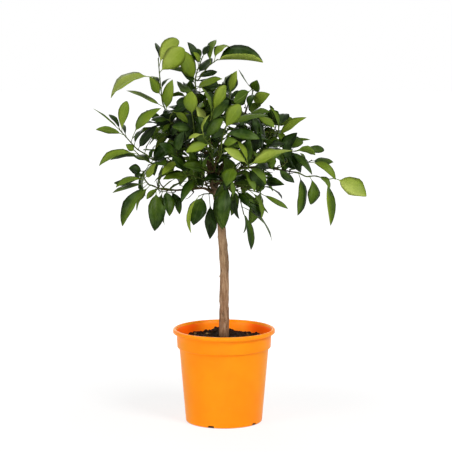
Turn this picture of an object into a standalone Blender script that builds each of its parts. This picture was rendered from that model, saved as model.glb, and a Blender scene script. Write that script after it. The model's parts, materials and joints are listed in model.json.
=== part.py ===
"""Potted orange tree: a young citrus standard in an orange nursery pot.

Frame: metres, +Z up. The origin is the centre of the pot's base, on the floor, and -Y is the front.
The pot and the potting mix are turned round the Z axis. The wood is a set of round tubes: a trunk,
and limbs that grow from it. Each leafy shoot is one solid, a twig whose leaves are extruded from it.
"""
import math

import bmesh
import bpy
from mathutils import Vector
from mathutils.bvhtree import BVHTree

# Pot: turned from thin plastic
RIM_RADIUS = 0.100
POT_HEIGHT = 0.1855
LIP_DROP = 0.009            # height of the rolled lip's outer skirt
COLLAR_RADIUS = 0.0927      # outside of the collar band, just under the lip
COLLAR_TAPER = 0.0012       # how much narrower the collar is at its lower end
COLLAR_BOTTOM = 0.1490
STEP_ROUND = 0.0035         # the rounding where the body widens to the collar
SHOULDER_RADIUS = 0.0873    # outside of the body, under the step below the collar
FOOT_RADIUS = 0.0747
WALL = 0.0015
FLOOR_UNDERSIDE = 0.0045    # the floor stands this high over the drain channel
FLOOR_THICKNESS = 0.0025
FLOOR_FILLET = 0.0015       # inside, where the floor meets the wall
BASE_PAD_RADIUS = 0.030     # flat pad in the middle of the underside, level with the foot
BASE_PAD_SLOPE = 0.002
SKIRT_THICKNESS = 0.0035
POT_SEGMENTS = 48

# Rolled lip, from the collar's top over the rim and back down inside, as the distance in from the
# rim's outside and the drop below its top
LIP = ((0.0061, 0.0040), (0.0030, 0.0022), (0.0014, 0.0040), (0.0014, LIP_DROP), (0.0, LIP_DROP),
       (0.0, 0.0022), (0.0010, 0.0005), (0.0028, 0.0), (0.0045, 0.0008), (0.0078, 0.0042))

# Drainage: notches in the foot skirt, and a hole through the floor beside each of them
NOTCH_COUNT = 5
NOTCH_WIDTH = 0.013
NOTCH_HEIGHT = 0.0042       # just short of the floor's underside
FIRST_NOTCH = math.radians(-90.0 - 19.7)
DRAIN_HOLE_RADIUS = 0.005
DRAIN_HOLE_SIDES = 12
DRAIN_HOLE_CIRCLE = 0.060

# Potting mix
GAP = 0.0003                # clearance that the mix keeps to the pot and the trunk
MIX_EDGE_HEIGHT = 0.1650
MIX_MOUND = 0.0060          # rise from the wall to the trunk
MIX_BUMP = 0.0009           # height of each of the waves that make the lumps
MIX_WAVES = ((143, 71, 0.4), (-118, 97, 1.7), (211, -63, 2.9), (54, 187, 0.0))   # per metre, phase
MIX_SEGMENTS = 36
MIX_RINGS = 9

# Trunk
TRUNK_FOOT = 0.130          # lower end of the buried root crown
TRUNK_FOOT_RADIUS = 0.0100
TRUNK_SIDES = 12
TRUNK_RINGS = 18

# Limbs and twigs
LIMB_SIDES = 7
LIMB_RINGS = 9              # evenly spread, after one ring at the very foot
LIMB_SECOND_RING = 0.04
TWIG_SIDES = 5
TWIG_FOOT_RADIUS = 0.0015
TWIG_END_RADIUS = 0.0009
NODE_HALF = 0.0011          # half the length of the twig segment that a leaf grows from
NODE_SPACING = 0.0030
SPUR = 0.0040               # a branch leaves its parent square to it, for this long
BRANCH_GAP = 0.0005         # clearance between a branch and the wood that it grows from

# Leaves, as fractions of the length from twig to tip
PETIOLE = 0.15
PETIOLE_RADIUS = 0.0008
BLADE_STATIONS = ((0.38, 0.88), (0.68, 0.80))   # along the leaf, part of the full width
BLADE_HALF_THICKNESS = 0.00045
FOLD = 14.0                 # degrees that each half of the blade rises from the midrib
CLEARANCE = 0.0007          # each leaf is tested with this much added all round
WOOD_RINGS = 31             # of the simpler tubes that leaves are tested against
WOOD_SIDES = 6
ALMOST_PARALLEL = 0.95      # cosine past which two directions count as one
LEVEL = 0.05                # slope under which a direction counts as level

# The crown's places below are in centimetres: across, depth (the front is negative) and up, as they
# line up on the tree's middle plane for an eye at EYE. placed() takes each to its true place.
EYE = Vector((0.0, -3.5, 0.844))
CM = 0.01


def placed(x, y, z):
    """True place of a point seen at (x, z) on the middle plane that lies at depth y."""
    on_plane = Vector((x * CM, 0.0, z * CM))
    return EYE + (on_plane - EYE) * ((y * CM - EYE.y) / -EYE.y)


# Centre line of the trunk in centimetres, and its radius in millimetres
TRUNK_LINE = (
    (0.00, 0, 13.0, 10.0), (0.00, 0, 17.6, 9.9), (0.03, 0, 21.7, 9.2), (0.05, 0, 25.8, 9.0),
    (0.10, 0, 29.9, 8.4), (0.02, 0, 32.4, 8.8), (-0.10, 0, 34.2, 8.7), (-0.30, 0, 36.4, 7.9),
    (-0.60, 0, 40.0, 7.7), (-1.20, 0, 44.0, 7.3), (-2.00, 0, 47.0, 6.8), (-2.60, 0, 50.0, 6.0),
    (-3.30, 0, 53.0, 5.2),
)

# Limbs: name, parent, where on the parent (0 foot, 1 end), foot and end radius in mm, places
LIMBS = (
    ("limb_upper_left", "trunk", 1.0, 4.4, 2.0,
     ((-5.4, -0.5, 54.4), (-7.5, -1.0, 55.4), (-9.0, -1.5, 57.5), (-10.5, -1.5, 60.0))),
    ("limb_centre", "trunk", 0.955, 3.8, 2.0,
     ((-2.7, 3.0, 54.4), (-3.5, 4.0, 57.6), (-4.5, 3.6, 61.0), (-5.2, 2.6, 64.6))),
    ("limb_left", "trunk", 0.93, 3.6, 1.9,
     ((-5.0, -1.6, 50.9), (-7.6, -3.0, 51.4), (-11.0, -3.6, 51.8), (-14.0, -3.6, 52.3))),
    ("limb_low_left", "trunk", 0.825, 3.6, 1.9,
     ((-4.0, -1.6, 46.5), (-6.5, -3.2, 46.3), (-9.8, -4.2, 46.1), (-12.2, -4.6, 46.3),
      (-13.8, -4.6, 46.9))),
    ("limb_front", "trunk", 0.85, 3.8, 1.9,
     ((-2.2, -3.0, 47.9), (-2.0, -6.0, 49.3), (-1.7, -9.0, 51.0), (-0.9, -11.0, 53.2))),
    ("limb_upper_right", "trunk", 0.885, 3.8, 1.8,
     ((-1.0, 1.8, 49.6), (0.3, 2.6, 52.4), (1.6, 3.0, 55.0), (3.0, 3.0, 58.0), (4.0, 2.6, 61.0),
      (4.9, 2.0, 63.5))),
    ("limb_right", "trunk", 0.865, 3.6, 1.9,
     ((0.0, -1.6, 48.2), (1.8, -2.6, 49.6), (3.6, -3.1, 50.4), (6.5, -3.3, 50.7),
      (10.0, -3.3, 50.3), (14.2, -3.0, 49.6))),
    ("limb_low_right", "trunk", 0.79, 3.2, 1.8,
     ((0.4, -1.6, 46.1), (1.8, -2.8, 46.9), (3.2, -3.8, 47.0))),
    ("limb_right_middle", "limb_upper_right", 0.42, 3.0, 1.8,
     ((3.4, 2.2, 54.8), (6.0, 1.0, 55.2), (8.4, 0.0, 55.8), (10.0, -0.5, 56.5))),
    ("limb_back_left", "trunk", 0.905, 3.6, 1.9,
     ((-4.0, 3.5, 50.8), (-6.5, 8.0, 53.0), (-9.0, 11.5, 56.0))),
    ("limb_back_right", "trunk", 0.842, 3.6, 1.9,
     ((0.0, 3.6, 48.6), (3.8, 8.0, 50.6), (7.5, 11.5, 53.5))),
    ("limb_back_low", "trunk", 0.80, 3.4, 1.8,
     ((-2.2, 4.0, 45.9), (-3.2, 9.0, 46.8), (-4.0, 13.0, 48.6))),
    ("limb_back_upper", "limb_centre", 0.36, 2.8, 1.8,
     ((-2.0, 7.0, 58.6), (0.0, 9.5, 61.0), (1.4, 10.5, 63.8))),
)


def leaf(at, tip, width, turn, arch=0.10, fold=FOLD):
    """One leaf: its place along the twig (0 foot, 1 end), the place of its tip, its full width in
    centimetres, how many degrees its upper side is rolled away from the front, its arch and fold."""
    return {"at": at, "tip": tip, "width": width, "turn": turn, "arch": arch, "fold": fold}


# Leafy shoots of the front and the two sides: name, parent, where on the parent, places, leaves
SHOOTS = (
    ("shoot_upper_left_tip", "limb_upper_left", 1.0,
     ((-11.3, -1.4, 61.6), (-12.0, -1.2, 63.4), (-12.3, -0.9, 66.0), (-12.6, -0.6, 69.3),
      (-12.8, -0.8, 72.0)), (
        leaf(0.14, (-10.0, -3.5, 67.8), 2.5, 25), leaf(0.22, (-18.9, 0.0, 66.1), 2.8, 62, 0.05),
        leaf(0.40, (-14.6, -3.0, 68.3), 2.0, 30), leaf(0.50, (-10.5, 1.0, 68.2), 1.2, 55),
        leaf(0.58, (-14.1, 1.5, 68.6), 1.2, 50), leaf(0.68, (-22.1, -3.0, 64.3), 4.2, 58, 0.20, fold=32),
        leaf(0.77, (-7.7, -3.5, 73.8), 3.8, 15), leaf(0.87, (-8.9, 0.5, 75.5), 3.2, 30, 0.24),
        leaf(0.97, (-13.1, 2.0, 74.8), 1.2, 50))),
    ("shoot_left_long", "limb_left", 1.0,
     ((-15.2, -3.4, 53.1), (-17.0, -3.2, 54.2), (-18.3, -3.0, 55.6), (-19.2, -2.8, 56.6),
      (-20.6, -2.5, 58.2)), (
        leaf(0.38, (-12.5, -6.0, 59.3), 2.7, 25), leaf(0.50, (-15.9, 1.0, 58.2), 1.3, 40),
        leaf(0.60, (-12.6, -5.0, 62.3), 2.5, 35, 0.18), leaf(0.76, (-19.9, 1.5, 59.3), 1.1, 40),
        leaf(0.83, (-25.0, -2.0, 58.3), 2.2, 118), leaf(0.90, (-19.0, -4.0, 63.6), 2.5, 25),
        leaf(0.96, (-22.6, 1.0, 60.9), 1.3, 50), leaf(1.0, (-25.3, -3.0, 62.5), 2.4, 74))),
    ("shoot_left_low", "limb_left", 0.82,
     ((-12.6, -4.6, 51.4), (-14.3, -5.2, 51.5), (-15.3, -5.4, 52.0), (-16.3, -5.4, 52.7),
      (-17.6, -5.2, 54.0)), (
        leaf(0.42, (-9.4, -7.5, 55.5), 3.0, 20), leaf(0.70, (-22.3, -4.0, 52.2), 2.4, 70),
        leaf(0.86, (-24.5, -6.5, 51.0), 2.5, 60, 0.22), leaf(0.97, (-19.2, -6.5, 55.1), 1.4, 20))),
    ("shoot_left_inner", "limb_left", 0.40,
     ((-8.4, -4.8, 52.0), (-8.9, -6.2, 52.6), (-9.4, -7.4, 53.6)), (
        leaf(0.50, (-12.2, -8.5, 49.2), 2.1, 48), leaf(0.75, (-12.6, -9.0, 55.4), 2.4, 40),
        leaf(1.0, (-7.8, -9.5, 57.7), 2.4, 30))),
    ("shoot_low_left_hanging", "limb_low_left", 0.70,
     ((-10.6, -5.8, 46.3), (-12.2, -6.8, 46.5), (-13.6, -7.4, 46.3)), (
        leaf(0.30, (-8.8, -7.5, 41.3), 2.2, 40), leaf(0.50, (-10.7, -9.0, 41.0), 2.4, 30),
        leaf(0.64, (-11.9, -6.0, 39.1), 2.2, -50), leaf(0.82, (-15.2, -6.4, 44.3), 1.5, 140),
        leaf(0.98, (-13.6, -9.6, 38.1), 3.4, 10))),
    ("shoot_low_left_tip", "limb_low_left", 1.0,
     ((-14.7, -4.7, 47.2), (-15.4, -4.8, 48.0), (-15.8, -4.7, 49.0), (-15.9, -4.6, 50.0)), (
        leaf(0.18, (-17.4, -4.0, 42.2), 2.2, 120), leaf(0.30, (-20.3, -6.6, 39.2), 2.9, 40, 0.18),
        leaf(0.42, (-22.0, -3.6, 45.7), 2.4, 72), leaf(0.52, (-21.3, -6.4, 46.9), 1.9, 62, 0.25),
        leaf(0.62, (-13.2, -6.5, 51.3), 2.0, 45), leaf(0.74, (-21.7, -3.0, 47.6), 2.0, 55),
        leaf(0.86, (-17.5, -3.4, 48.8), 1.3, 40), leaf(1.0, (-18.7, -5.4, 50.4), 1.8, 30))),
    ("shoot_low_left_inner", "trunk", 0.872,
     ((-3.6, -2.6, 48.1), (-5.0, -4.6, 48.6), (-6.4, -6.2, 49.0), (-7.4, -7.2, 49.7)), (
        leaf(0.62, (-8.4, -9.0, 43.9), 2.4, 30), leaf(0.76, (-6.7, -9.5, 54.3), 2.2, 35),
        leaf(0.86, (-12.2, -7.4, 48.4), 2.2, 52), leaf(0.96, (-10.3, -8.8, 53.2), 2.1, 40))),
    ("shoot_upper_left_side", "limb_upper_left", 0.86,
     ((-10.0, -3.2, 59.2), (-10.6, -4.2, 59.8), (-10.4, -5.0, 60.8), (-9.8, -5.6, 61.7)), (
        leaf(0.35, (-12.1, -4.4, 57.6), 1.2, 45), leaf(0.55, (-14.3, -4.8, 59.9), 2.0, 50),
        leaf(0.78, (-6.8, -3.8, 63.0), 2.4, 30), leaf(0.98, (-7.1, -7.0, 59.3), 1.9, 50))),
    ("shoot_front_left", "limb_front", 1.0,
     ((-2.0, -11.6, 54.4), (-3.2, -12.0, 55.6), (-3.9, -12.3, 56.5), (-4.1, -12.5, 57.3)), (
        leaf(0.55, (-7.4, -14.0, 53.8), 2.1, 35), leaf(0.68, (-0.9, -9.5, 57.8), 2.4, 30),
        leaf(0.80, (-0.2, -14.0, 60.2), 2.3, 35), leaf(0.90, (-3.0, -13.4, 60.9), 1.5, 66, 0.15),
        leaf(1.0, (-6.9, -13.0, 56.3), 1.3, 60))),
    ("shoot_front_rise", "limb_front", 0.72,
     ((-2.2, -9.2, 53.2), (-2.8, -10.0, 56.6), (-2.7, -10.2, 59.4), (-2.2, -10.2, 61.2),
      (-2.0, -10.2, 62.4)), (
        leaf(0.55, (-5.0, -11.0, 60.6), 2.4, 25), leaf(0.74, (0.9, -8.4, 63.9), 2.6, 25),
        leaf(0.85, (-4.5, -11.6, 66.3), 2.0, 62), leaf(0.93, (0.4, -12.4, 66.7), 2.9, 22),
        leaf(1.0, (-3.2, -8.0, 65.4), 2.2, 25))),
    ("shoot_left_rise", "limb_upper_left", 0.28,
     ((-5.8, -3.0, 55.6), (-5.8, -6.0, 57.6), (-6.0, -8.0, 59.6), (-6.2, -9.0, 61.2),
      (-6.0, -9.4, 63.4)), (
        leaf(0.40, (-3.0, -8.0, 59.6), 2.4, 30), leaf(0.55, (-10.2, -9.0, 58.6), 2.6, 30),
        leaf(0.82, (-6.4, -12.0, 65.3), 3.2, 15), leaf(0.90, (-9.2, -7.5, 63.6), 2.2, 35),
        leaf(1.0, (-4.0, -13.0, 60.1), 2.3, 20))),
    ("shoot_top", "limb_centre", 1.0,
     ((-5.5, 2.2, 66.0), (-5.6, 1.8, 67.6), (-5.3, 1.5, 69.2), (-4.8, 1.3, 70.6), (-4.1, 1.3, 72.4)), (
        leaf(0.10, (-9.2, 3.2, 67.5), 2.0, 50), leaf(0.17, (-0.6, -1.8, 68.1), 2.2, 48),
        leaf(0.24, (-1.0, 2.4, 67.3), 2.0, 30), leaf(0.31, (-8.3, -0.2, 69.3), 2.0, 35),
        leaf(0.39, (-8.2, -2.4, 73.5), 3.3, 28), leaf(0.47, (-1.3, 3.0, 69.9), 1.9, 35),
        leaf(0.56, (-2.4, 3.6, 72.2), 1.9, 45), leaf(0.65, (-10.4, -0.8, 70.3), 1.9, 55),
        leaf(0.74, (-6.9, 0.4, 75.1), 2.0, 42), leaf(0.82, (-5.9, -1.6, 73.1), 1.5, 45),
        leaf(0.91, (-5.8, 2.8, 73.8), 1.7, 35), leaf(1.0, (-2.9, 1.6, 74.5), 1.7, 38))),
    ("shoot_top_right", "shoot_top", 0.40,
     ((-4.2, 0.8, 68.9), (-3.5, 0.5, 69.8), (-2.9, 0.3, 70.5), (-2.0, 0.1, 71.2), (-1.1, 0.0, 71.8)), (
        leaf(0.72, (-1.8, 3.0, 75.6), 2.0, 40), leaf(0.85, (1.2, 1.6, 73.6), 2.2, 60, 0.20),
        leaf(1.0, (7.6, -1.0, 71.4), 5.6, 67, 0.05, fold=52))),
    ("shoot_upper_right_tip", "limb_upper_right", 1.0,
     ((5.4, 1.6, 64.6), (5.6, 1.2, 65.5), (5.3, 0.8, 66.4)), (
        leaf(0.35, (9.0, -2.0, 65.0), 2.4, 15), leaf(0.55, (5.1, -2.6, 62.3), 1.9, 20),
        leaf(0.70, (6.4, -0.8, 67.7), 2.1, 20), leaf(0.86, (1.9, -2.6, 63.4), 2.5, 145),
        leaf(1.0, (3.2, 1.2, 69.9), 1.8, 76))),
    ("shoot_upper_right_inner", "limb_upper_right", 0.66,
     ((2.2, 1.0, 60.6), (1.4, -0.5, 62.8), (1.1, -1.0, 64.2), (1.2, -1.2, 65.4)), (
        leaf(0.50, (-1.6, -2.4, 64.6), 2.4, 35), leaf(0.80, (2.8, -1.0, 65.7), 1.0, 35),
        leaf(0.90, (1.9, 0.8, 68.9), 2.7, 10), leaf(1.0, (2.5, -3.2, 69.5), 2.0, 35))),
    ("shoot_front_right", "limb_front", 0.90,
     ((-0.5, -12.2, 53.4), (-0.4, -12.7, 55.6), (0.1, -13.0, 58.0), (0.5, -13.1, 58.9)), (
        leaf(0.32, (2.3, -13.2, 55.1), 1.4, 40), leaf(0.56, (2.6, -14.2, 55.9), 2.0, 28),
        leaf(0.80, (7.0, -14.2, 56.3), 2.6, 42), leaf(0.91, (3.2, -15.6, 62.9), 3.0, 15),
        leaf(1.0, (8.7, -12.6, 60.8), 2.5, 58))),
    ("shoot_right_upper", "limb_upper_right", 0.80,
     ((4.5, 0.4, 60.7), (5.0, -1.2, 61.2), (5.8, -2.8, 60.8), (6.5, -3.8, 60.4)), (
        leaf(0.45, (8.9, -3.6, 61.6), 1.9, 45), leaf(0.70, (3.3, -6.0, 59.0), 2.4, 30),
        leaf(0.85, (6.6, -7.0, 57.2), 2.4, 30), leaf(1.0, (9.9, -6.4, 58.6), 2.0, 48))),
    ("shoot_right_crest", "limb_right_middle", 1.0,
     ((10.4, -0.8, 57.2), (10.7, -1.0, 58.0), (10.8, -1.0, 58.9)), (
        leaf(0.20, (16.0, -3.2, 60.5), 2.3, 42), leaf(0.45, (12.2, -2.6, 55.6), 1.6, 30),
        leaf(0.72, (9.1, -2.4, 62.5), 1.9, 52), leaf(1.0, (11.9, 1.6, 61.6), 2.7, 12))),
    ("shoot_right_crest_low", "limb_right_middle", 0.80,
     ((9.6, -1.8, 55.4), (11.0, -3.2, 54.8), (12.4, -4.2, 54.1), (13.8, -4.7, 53.8), (15.0, -4.8, 54.2)), (
        leaf(0.30, (15.5, -2.4, 55.6), 2.6, 20), leaf(0.45, (14.3, -1.0, 57.5), 2.8, 28),
        leaf(0.60, (15.1, -5.4, 49.6), 2.6, 30), leaf(0.75, (17.4, -7.4, 49.3), 2.3, 42),
        leaf(0.88, (18.0, -6.0, 53.2), 1.9, 132), leaf(1.0, (19.7, -3.4, 54.2), 1.8, 30))),
    ("shoot_right_tip_upper", "limb_right", 0.93,
     ((14.3, -1.8, 50.4), (15.5, -1.6, 51.1), (16.7, -1.5, 51.7), (17.3, -1.5, 52.1)), (
        leaf(0.72, (15.0, -3.2, 53.4), 1.3, 55), leaf(0.86, (21.9, -4.2, 48.3), 2.5, 35, 0.20),
        leaf(1.0, (21.5, -2.4, 51.6), 1.9, 48))),
    ("shoot_right_long", "limb_right", 1.0,
     ((15.5, -2.9, 49.1), (16.3, -2.8, 48.8), (18.0, -2.6, 48.9), (20.2, -2.4, 48.3),
      (22.0, -2.3, 48.5)), (
        leaf(0.04, (14.6, -5.0, 41.1), 2.3, 48, 0.20), leaf(0.34, (17.2, -4.8, 43.3), 2.4, 22),
        leaf(0.52, (20.9, -4.4, 46.6), 1.8, 60, 0.25), leaf(0.80, (21.2, -3.6, 39.1), 2.6, 42, fold=28),
        leaf(1.0, (28.0, -4.6, 44.9), 3.5, 12))),
    ("shoot_right_front", "limb_right", 0.27,
     ((2.6, -6.0, 50.2), (3.6, -9.0, 50.4), (4.4, -11.0, 50.4), (4.8, -12.0, 50.8), (4.6, -12.7, 51.6)), (
        leaf(0.70, (6.1, -13.2, 45.9), 2.4, 32), leaf(0.76, (8.2, -13.4, 47.2), 2.2, 60, 0.25),
        leaf(0.82, (8.0, -10.4, 47.6), 2.9, 20), leaf(0.87, (4.9, -11.0, 56.3), 2.4, 20),
        leaf(0.91, (11.4, -10.6, 53.6), 2.3, 28), leaf(0.94, (13.4, -14.6, 54.0), 3.1, 25, 0.14),
        leaf(0.97, (0.1, -14.4, 54.3), 2.2, 38), leaf(1.0, (2.5, -13.4, 55.9), 1.9, 48))),
    ("shoot_right_under", "limb_right", 0.52,
     ((7.2, -4.4, 49.3), (7.8, -5.0, 48.1), (8.3, -5.4, 47.1)), (
        leaf(0.55, (10.6, -2.4, 47.2), 1.4, 40), leaf(0.78, (9.6, -6.4, 45.8), 1.0, 68),
        leaf(0.90, (11.8, -6.8, 47.3), 1.9, 25), leaf(1.0, (7.0, -6.2, 45.7), 1.0, 40))),
    ("shoot_right_middle", "limb_right", 0.73,
     ((10.9, -4.6, 50.6), (11.8, -5.2, 51.2), (12.6, -5.6, 52.0)), (
        leaf(0.35, (13.9, -5.6, 47.7), 2.0, 42), leaf(0.58, (15.0, -4.2, 50.8), 1.6, 30),
        leaf(0.80, (9.6, -6.8, 53.6), 2.2, 35), leaf(1.0, (12.2, -7.4, 55.9), 2.1, 30))),
    ("shoot_low_right_tip", "limb_low_right", 1.0,
     ((4.5, -4.2, 46.3), (5.6, -4.5, 46.0), (6.6, -4.6, 45.7), (7.4, -4.7, 45.4)), (
        leaf(0.45, (6.9, -6.4, 40.4), 2.2, 55), leaf(1.0, (12.7, -6.0, 42.6), 2.4, 56))),
    ("shoot_low_right_hanging", "limb_low_right", 0.66,
     ((2.5, -4.6, 46.0), (3.1, -5.2, 44.8), (3.4, -5.4, 43.4), (3.7, -5.5, 42.2), (3.9, -5.5, 41.3)), (
        leaf(0.22, (3.0, -5.0, 40.4), 1.8, -48), leaf(0.34, (5.0, -7.0, 42.7), 2.2, 20),
        leaf(0.52, (8.9, -4.2, 41.6), 1.6, 66), leaf(0.66, (7.2, -6.2, 40.6), 2.0, 32),
        leaf(0.80, (9.6, -6.0, 36.0), 2.2, 72), leaf(0.92, (3.9, -4.4, 37.6), 1.3, 65),
        leaf(1.0, (5.3, -6.2, 34.2), 2.3, 48))),
    ("shoot_front_low", "trunk", 0.775,
     ((-2.2, -2.4, 45.3), (-3.1, -5.2, 45.4), (-4.1, -8.0, 45.3), (-5.0, -9.6, 44.9)), (
        leaf(0.48, (-2.6, -8.0, 36.5), 2.8, 32), leaf(0.80, (-6.0, -11.6, 39.2), 3.3, 12),
        leaf(1.0, (-6.6, -12.0, 37.6), 1.6, 58, 0.15))),
    ("shoot_front_middle", "limb_front", 0.25,
     ((-1.2, -4.8, 47.9), (-0.3, -7.2, 47.7), (0.6, -9.2, 47.9), (1.4, -10.6, 48.8), (2.0, -11.6, 51.0)), (
        leaf(0.30, (-0.2, -7.6, 38.2), 2.5, -40), leaf(0.42, (-1.7, -9.6, 44.9), 1.9, -42),
        leaf(0.52, (-0.9, -9.0, 52.9), 2.3, 25), leaf(0.62, (0.5, -11.6, 38.9), 3.2, 22),
        leaf(0.72, (1.7, -11.4, 44.8), 1.6, 38), leaf(0.82, (0.2, -12.4, 46.0), 2.0, 25),
        leaf(1.0, (0.5, -14.0, 47.0), 3.2, 12))),
)

# Shoots of the back and the inside: name, parent, where on the parent, end of the twig, leaves.
# Their leaves follow a rule: each stands 137.5 degrees round the twig from the one before.
RULED_SHOOTS = (
    ("shoot_back_left_tip", "limb_back_left", 1.0, (-12.8, 13.5, 58.5), 9),
    ("shoot_back_left_side", "limb_back_left", 0.60, (-15.0, 8.5, 51.0), 8),
    ("shoot_back_left_inner", "limb_back_left", 0.80, (-5.0, 16.0, 60.5), 8),
    ("shoot_back_right_tip", "limb_back_right", 1.0, (11.8, 13.0, 53.5), 8),
    ("shoot_back_right_rise", "limb_back_right", 0.80, (5.2, 13.0, 61.0), 9),
    ("shoot_back_right_low", "limb_back_right", 0.55, (7.5, 10.5, 46.2), 7),
    ("shoot_back_low_tip", "limb_back_low", 1.0, (-6.0, 17.5, 51.0), 7),
    ("shoot_back_low_side", "limb_back_low", 0.70, (2.8, 13.5, 46.0), 7),
    ("shoot_back_upper_tip", "limb_back_upper", 1.0, (-0.6, 12.0, 66.0), 7),
    ("shoot_back_upper_side", "limb_back_upper", 0.55, (-7.5, 10.5, 64.5), 9),
    ("shoot_inner_left", "limb_upper_left", 0.55, (-10.5, 4.5, 57.5), 9),
    ("shoot_inner_right", "limb_right_middle", 0.45, (8.8, 5.0, 59.0), 9),
    ("shoot_inner_centre", "limb_centre", 0.55, (-7.8, -1.8, 62.0), 10),
    ("shoot_inner_front", "limb_front", 0.50, (0.6, -6.5, 59.0), 10),
    ("shoot_inner_right_front", "limb_right", 0.42, (8.5, -6.0, 54.5), 9),
    ("shoot_inner_low", "limb_low_left", 0.30, (-8.6, -1.5, 49.8), 8),
)
GOLDEN_TURN = math.radians(137.5)
RULED_LENGTH = 0.066        # of the longest leaves
RULED_SHORTER = 0.15        # the shortest lack twice this share of it
RULED_LENGTH_TURN = 2.3     # turn of the wave that the lengths follow from leaf to leaf
RULED_WIDTH = 2.9
RULED_ARCH = 0.12
RULED_FIRST = 0.30          # the first leaf's place along the twig
RULED_SPREAD = math.radians(58.0)   # angle between a leaf and its twig
RULED_DROOP = 0.012
RULED_TWIG_RISE = 0.008     # rise of the twig's middle over the straight line to its end
TWIG_PULL = 0.6             # how far upper sides look along the twig, where the sky counts as 1
ROLL_STEP = 15

# Small changes that a leaf may take to lie clear of the others: roll in degrees, then the shift of
# its tip in centimetres, towards the front and up
SHIFTS = tuple((roll, front, up)
               for front, up in ((0.0, 0.0), (0.8, 0.0), (-0.8, 0.0), (1.6, -0.5), (-1.6, -0.5),
                                 (2.6, 0.4), (-2.6, 0.4), (3.8, -0.8), (-3.8, -0.8))
               for roll in (0.0, 12.0, -12.0, 24.0, -24.0))

PLASTIC_ORANGE = (0.95, 0.32, 0.02)
SOIL_BROWN = (0.045, 0.025, 0.013)
BARK = (0.26, 0.17, 0.11)
LEAF_GREEN = (0.06, 0.14, 0.015)


def material(name, color, roughness):
    made = bpy.data.materials.new(name)
    made.use_nodes = True
    shader = made.node_tree.nodes["Principled BSDF"]
    shader.inputs["Base Color"].default_value = (*color, 1.0)
    shader.inputs["Roughness"].default_value = roughness
    return made


def new_object(name, bm, finish, smooth_angle=math.radians(35.0)):
    """Turns a finished bmesh into a named object with its material."""
    mesh = bpy.data.meshes.new(name)
    bm.to_mesh(mesh)
    bm.free()
    mesh.shade_smooth()
    mesh.set_sharp_from_angle(angle=smooth_angle)
    mesh.materials.append(finish)
    made = bpy.data.objects.new(name, mesh)
    bpy.context.scene.collection.objects.link(made)
    return made


def evenly(first, last, count):
    """That many values, spread evenly from first to last."""
    return [first + (last - first) * index / (count - 1) for index in range(count)]


def turned(profile, segments):
    """Closed bmesh of a profile of (radius, height) points, spun round the Z axis."""
    bm = bmesh.new()
    line = [bm.verts.new((radius, 0.0, height)) for radius, height in profile]
    edges = [bm.edges.new(pair) for pair in zip(line, line[1:])]
    bmesh.ops.spin(bm, geom=line + edges, cent=(0, 0, 0), axis=(0, 0, 1), angle=math.tau,
                   steps=segments, use_merge=True)
    bmesh.ops.remove_doubles(bm, verts=bm.verts, dist=1e-6)
    bmesh.ops.recalc_face_normals(bm, faces=bm.faces)
    return bm


# ---------------------------------------------------------------- pot and potting mix

def body_radius(height):
    """Outside of the body, which widens evenly from the foot to the shoulder."""
    return FOOT_RADIUS + (SHOULDER_RADIUS - FOOT_RADIUS) * height / (COLLAR_BOTTOM - STEP_ROUND)


def inner_wall():
    """Inside of the pot from the floor up to the collar, as (radius, height) points."""
    floor_top = FLOOR_UNDERSIDE + FLOOR_THICKNESS
    fillet_top = floor_top + FLOOR_FILLET
    return [(body_radius(floor_top) - WALL - FLOOR_FILLET, floor_top),
            (body_radius(fillet_top) - WALL, fillet_top),
            (SHOULDER_RADIUS - WALL, COLLAR_BOTTOM - WALL),
            (COLLAR_RADIUS - COLLAR_TAPER - WALL, COLLAR_BOTTOM + 2 * WALL)]


def build_pot():
    floor_top = FLOOR_UNDERSIDE + FLOOR_THICKNESS
    lip_bottom = POT_HEIGHT - LIP_DROP
    skirt_radius = FOOT_RADIUS - SKIRT_THICKNESS
    underside = [(0.0, 0.0), (BASE_PAD_RADIUS, 0.0), (BASE_PAD_RADIUS + BASE_PAD_SLOPE, FLOOR_UNDERSIDE),
                 (skirt_radius, FLOOR_UNDERSIDE), (skirt_radius, 0.0)]
    outside = [(FOOT_RADIUS, 0.0), (SHOULDER_RADIUS, COLLAR_BOTTOM - STEP_ROUND),
               (SHOULDER_RADIUS + STEP_ROUND / 3, COLLAR_BOTTOM - STEP_ROUND / 3),
               (COLLAR_RADIUS - COLLAR_TAPER, COLLAR_BOTTOM), (COLLAR_RADIUS, lip_bottom)]
    lip = [(RIM_RADIUS - inset, POT_HEIGHT - drop) for inset, drop in LIP]
    lip.append((COLLAR_RADIUS - WALL, lip_bottom - WALL))
    inside = inner_wall()[::-1] + [(0.0, floor_top)]
    pot = new_object("pot", turned(underside + outside + lip + inside, POT_SEGMENTS),
                     material("pot_plastic", PLASTIC_ORANGE, 0.42))
    for name, shape in (("notch_cutter", notch_cutter()), ("drain_cutter", drain_cutter())):
        cutter = new_object(name, shape, pot.data.materials[0])
        cutter.hide_render = True
        cutter.display_type = "WIRE"
        cut = pot.modifiers.new(name, "BOOLEAN")
        cut.operation = "DIFFERENCE"
        cut.object = cutter
    return pot


def notch_angles():
    return [FIRST_NOTCH + math.tau * index / NOTCH_COUNT for index in range(NOTCH_COUNT)]


def notch_cutter():
    """Boxes that cut the notches through the foot skirt, each square to its radius."""
    reach = 0.010
    below = 0.002
    bm = bmesh.new()
    for angle in notch_angles():
        box = bmesh.ops.create_cube(bm, size=1.0)["verts"]
        bmesh.ops.scale(bm, verts=box, vec=(2 * reach, NOTCH_WIDTH, NOTCH_HEIGHT + below))
        bmesh.ops.translate(bm, verts=box, vec=(FOOT_RADIUS, 0, (NOTCH_HEIGHT - below) / 2))
        turn_round_z(bm, box, angle)
    return bm


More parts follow.
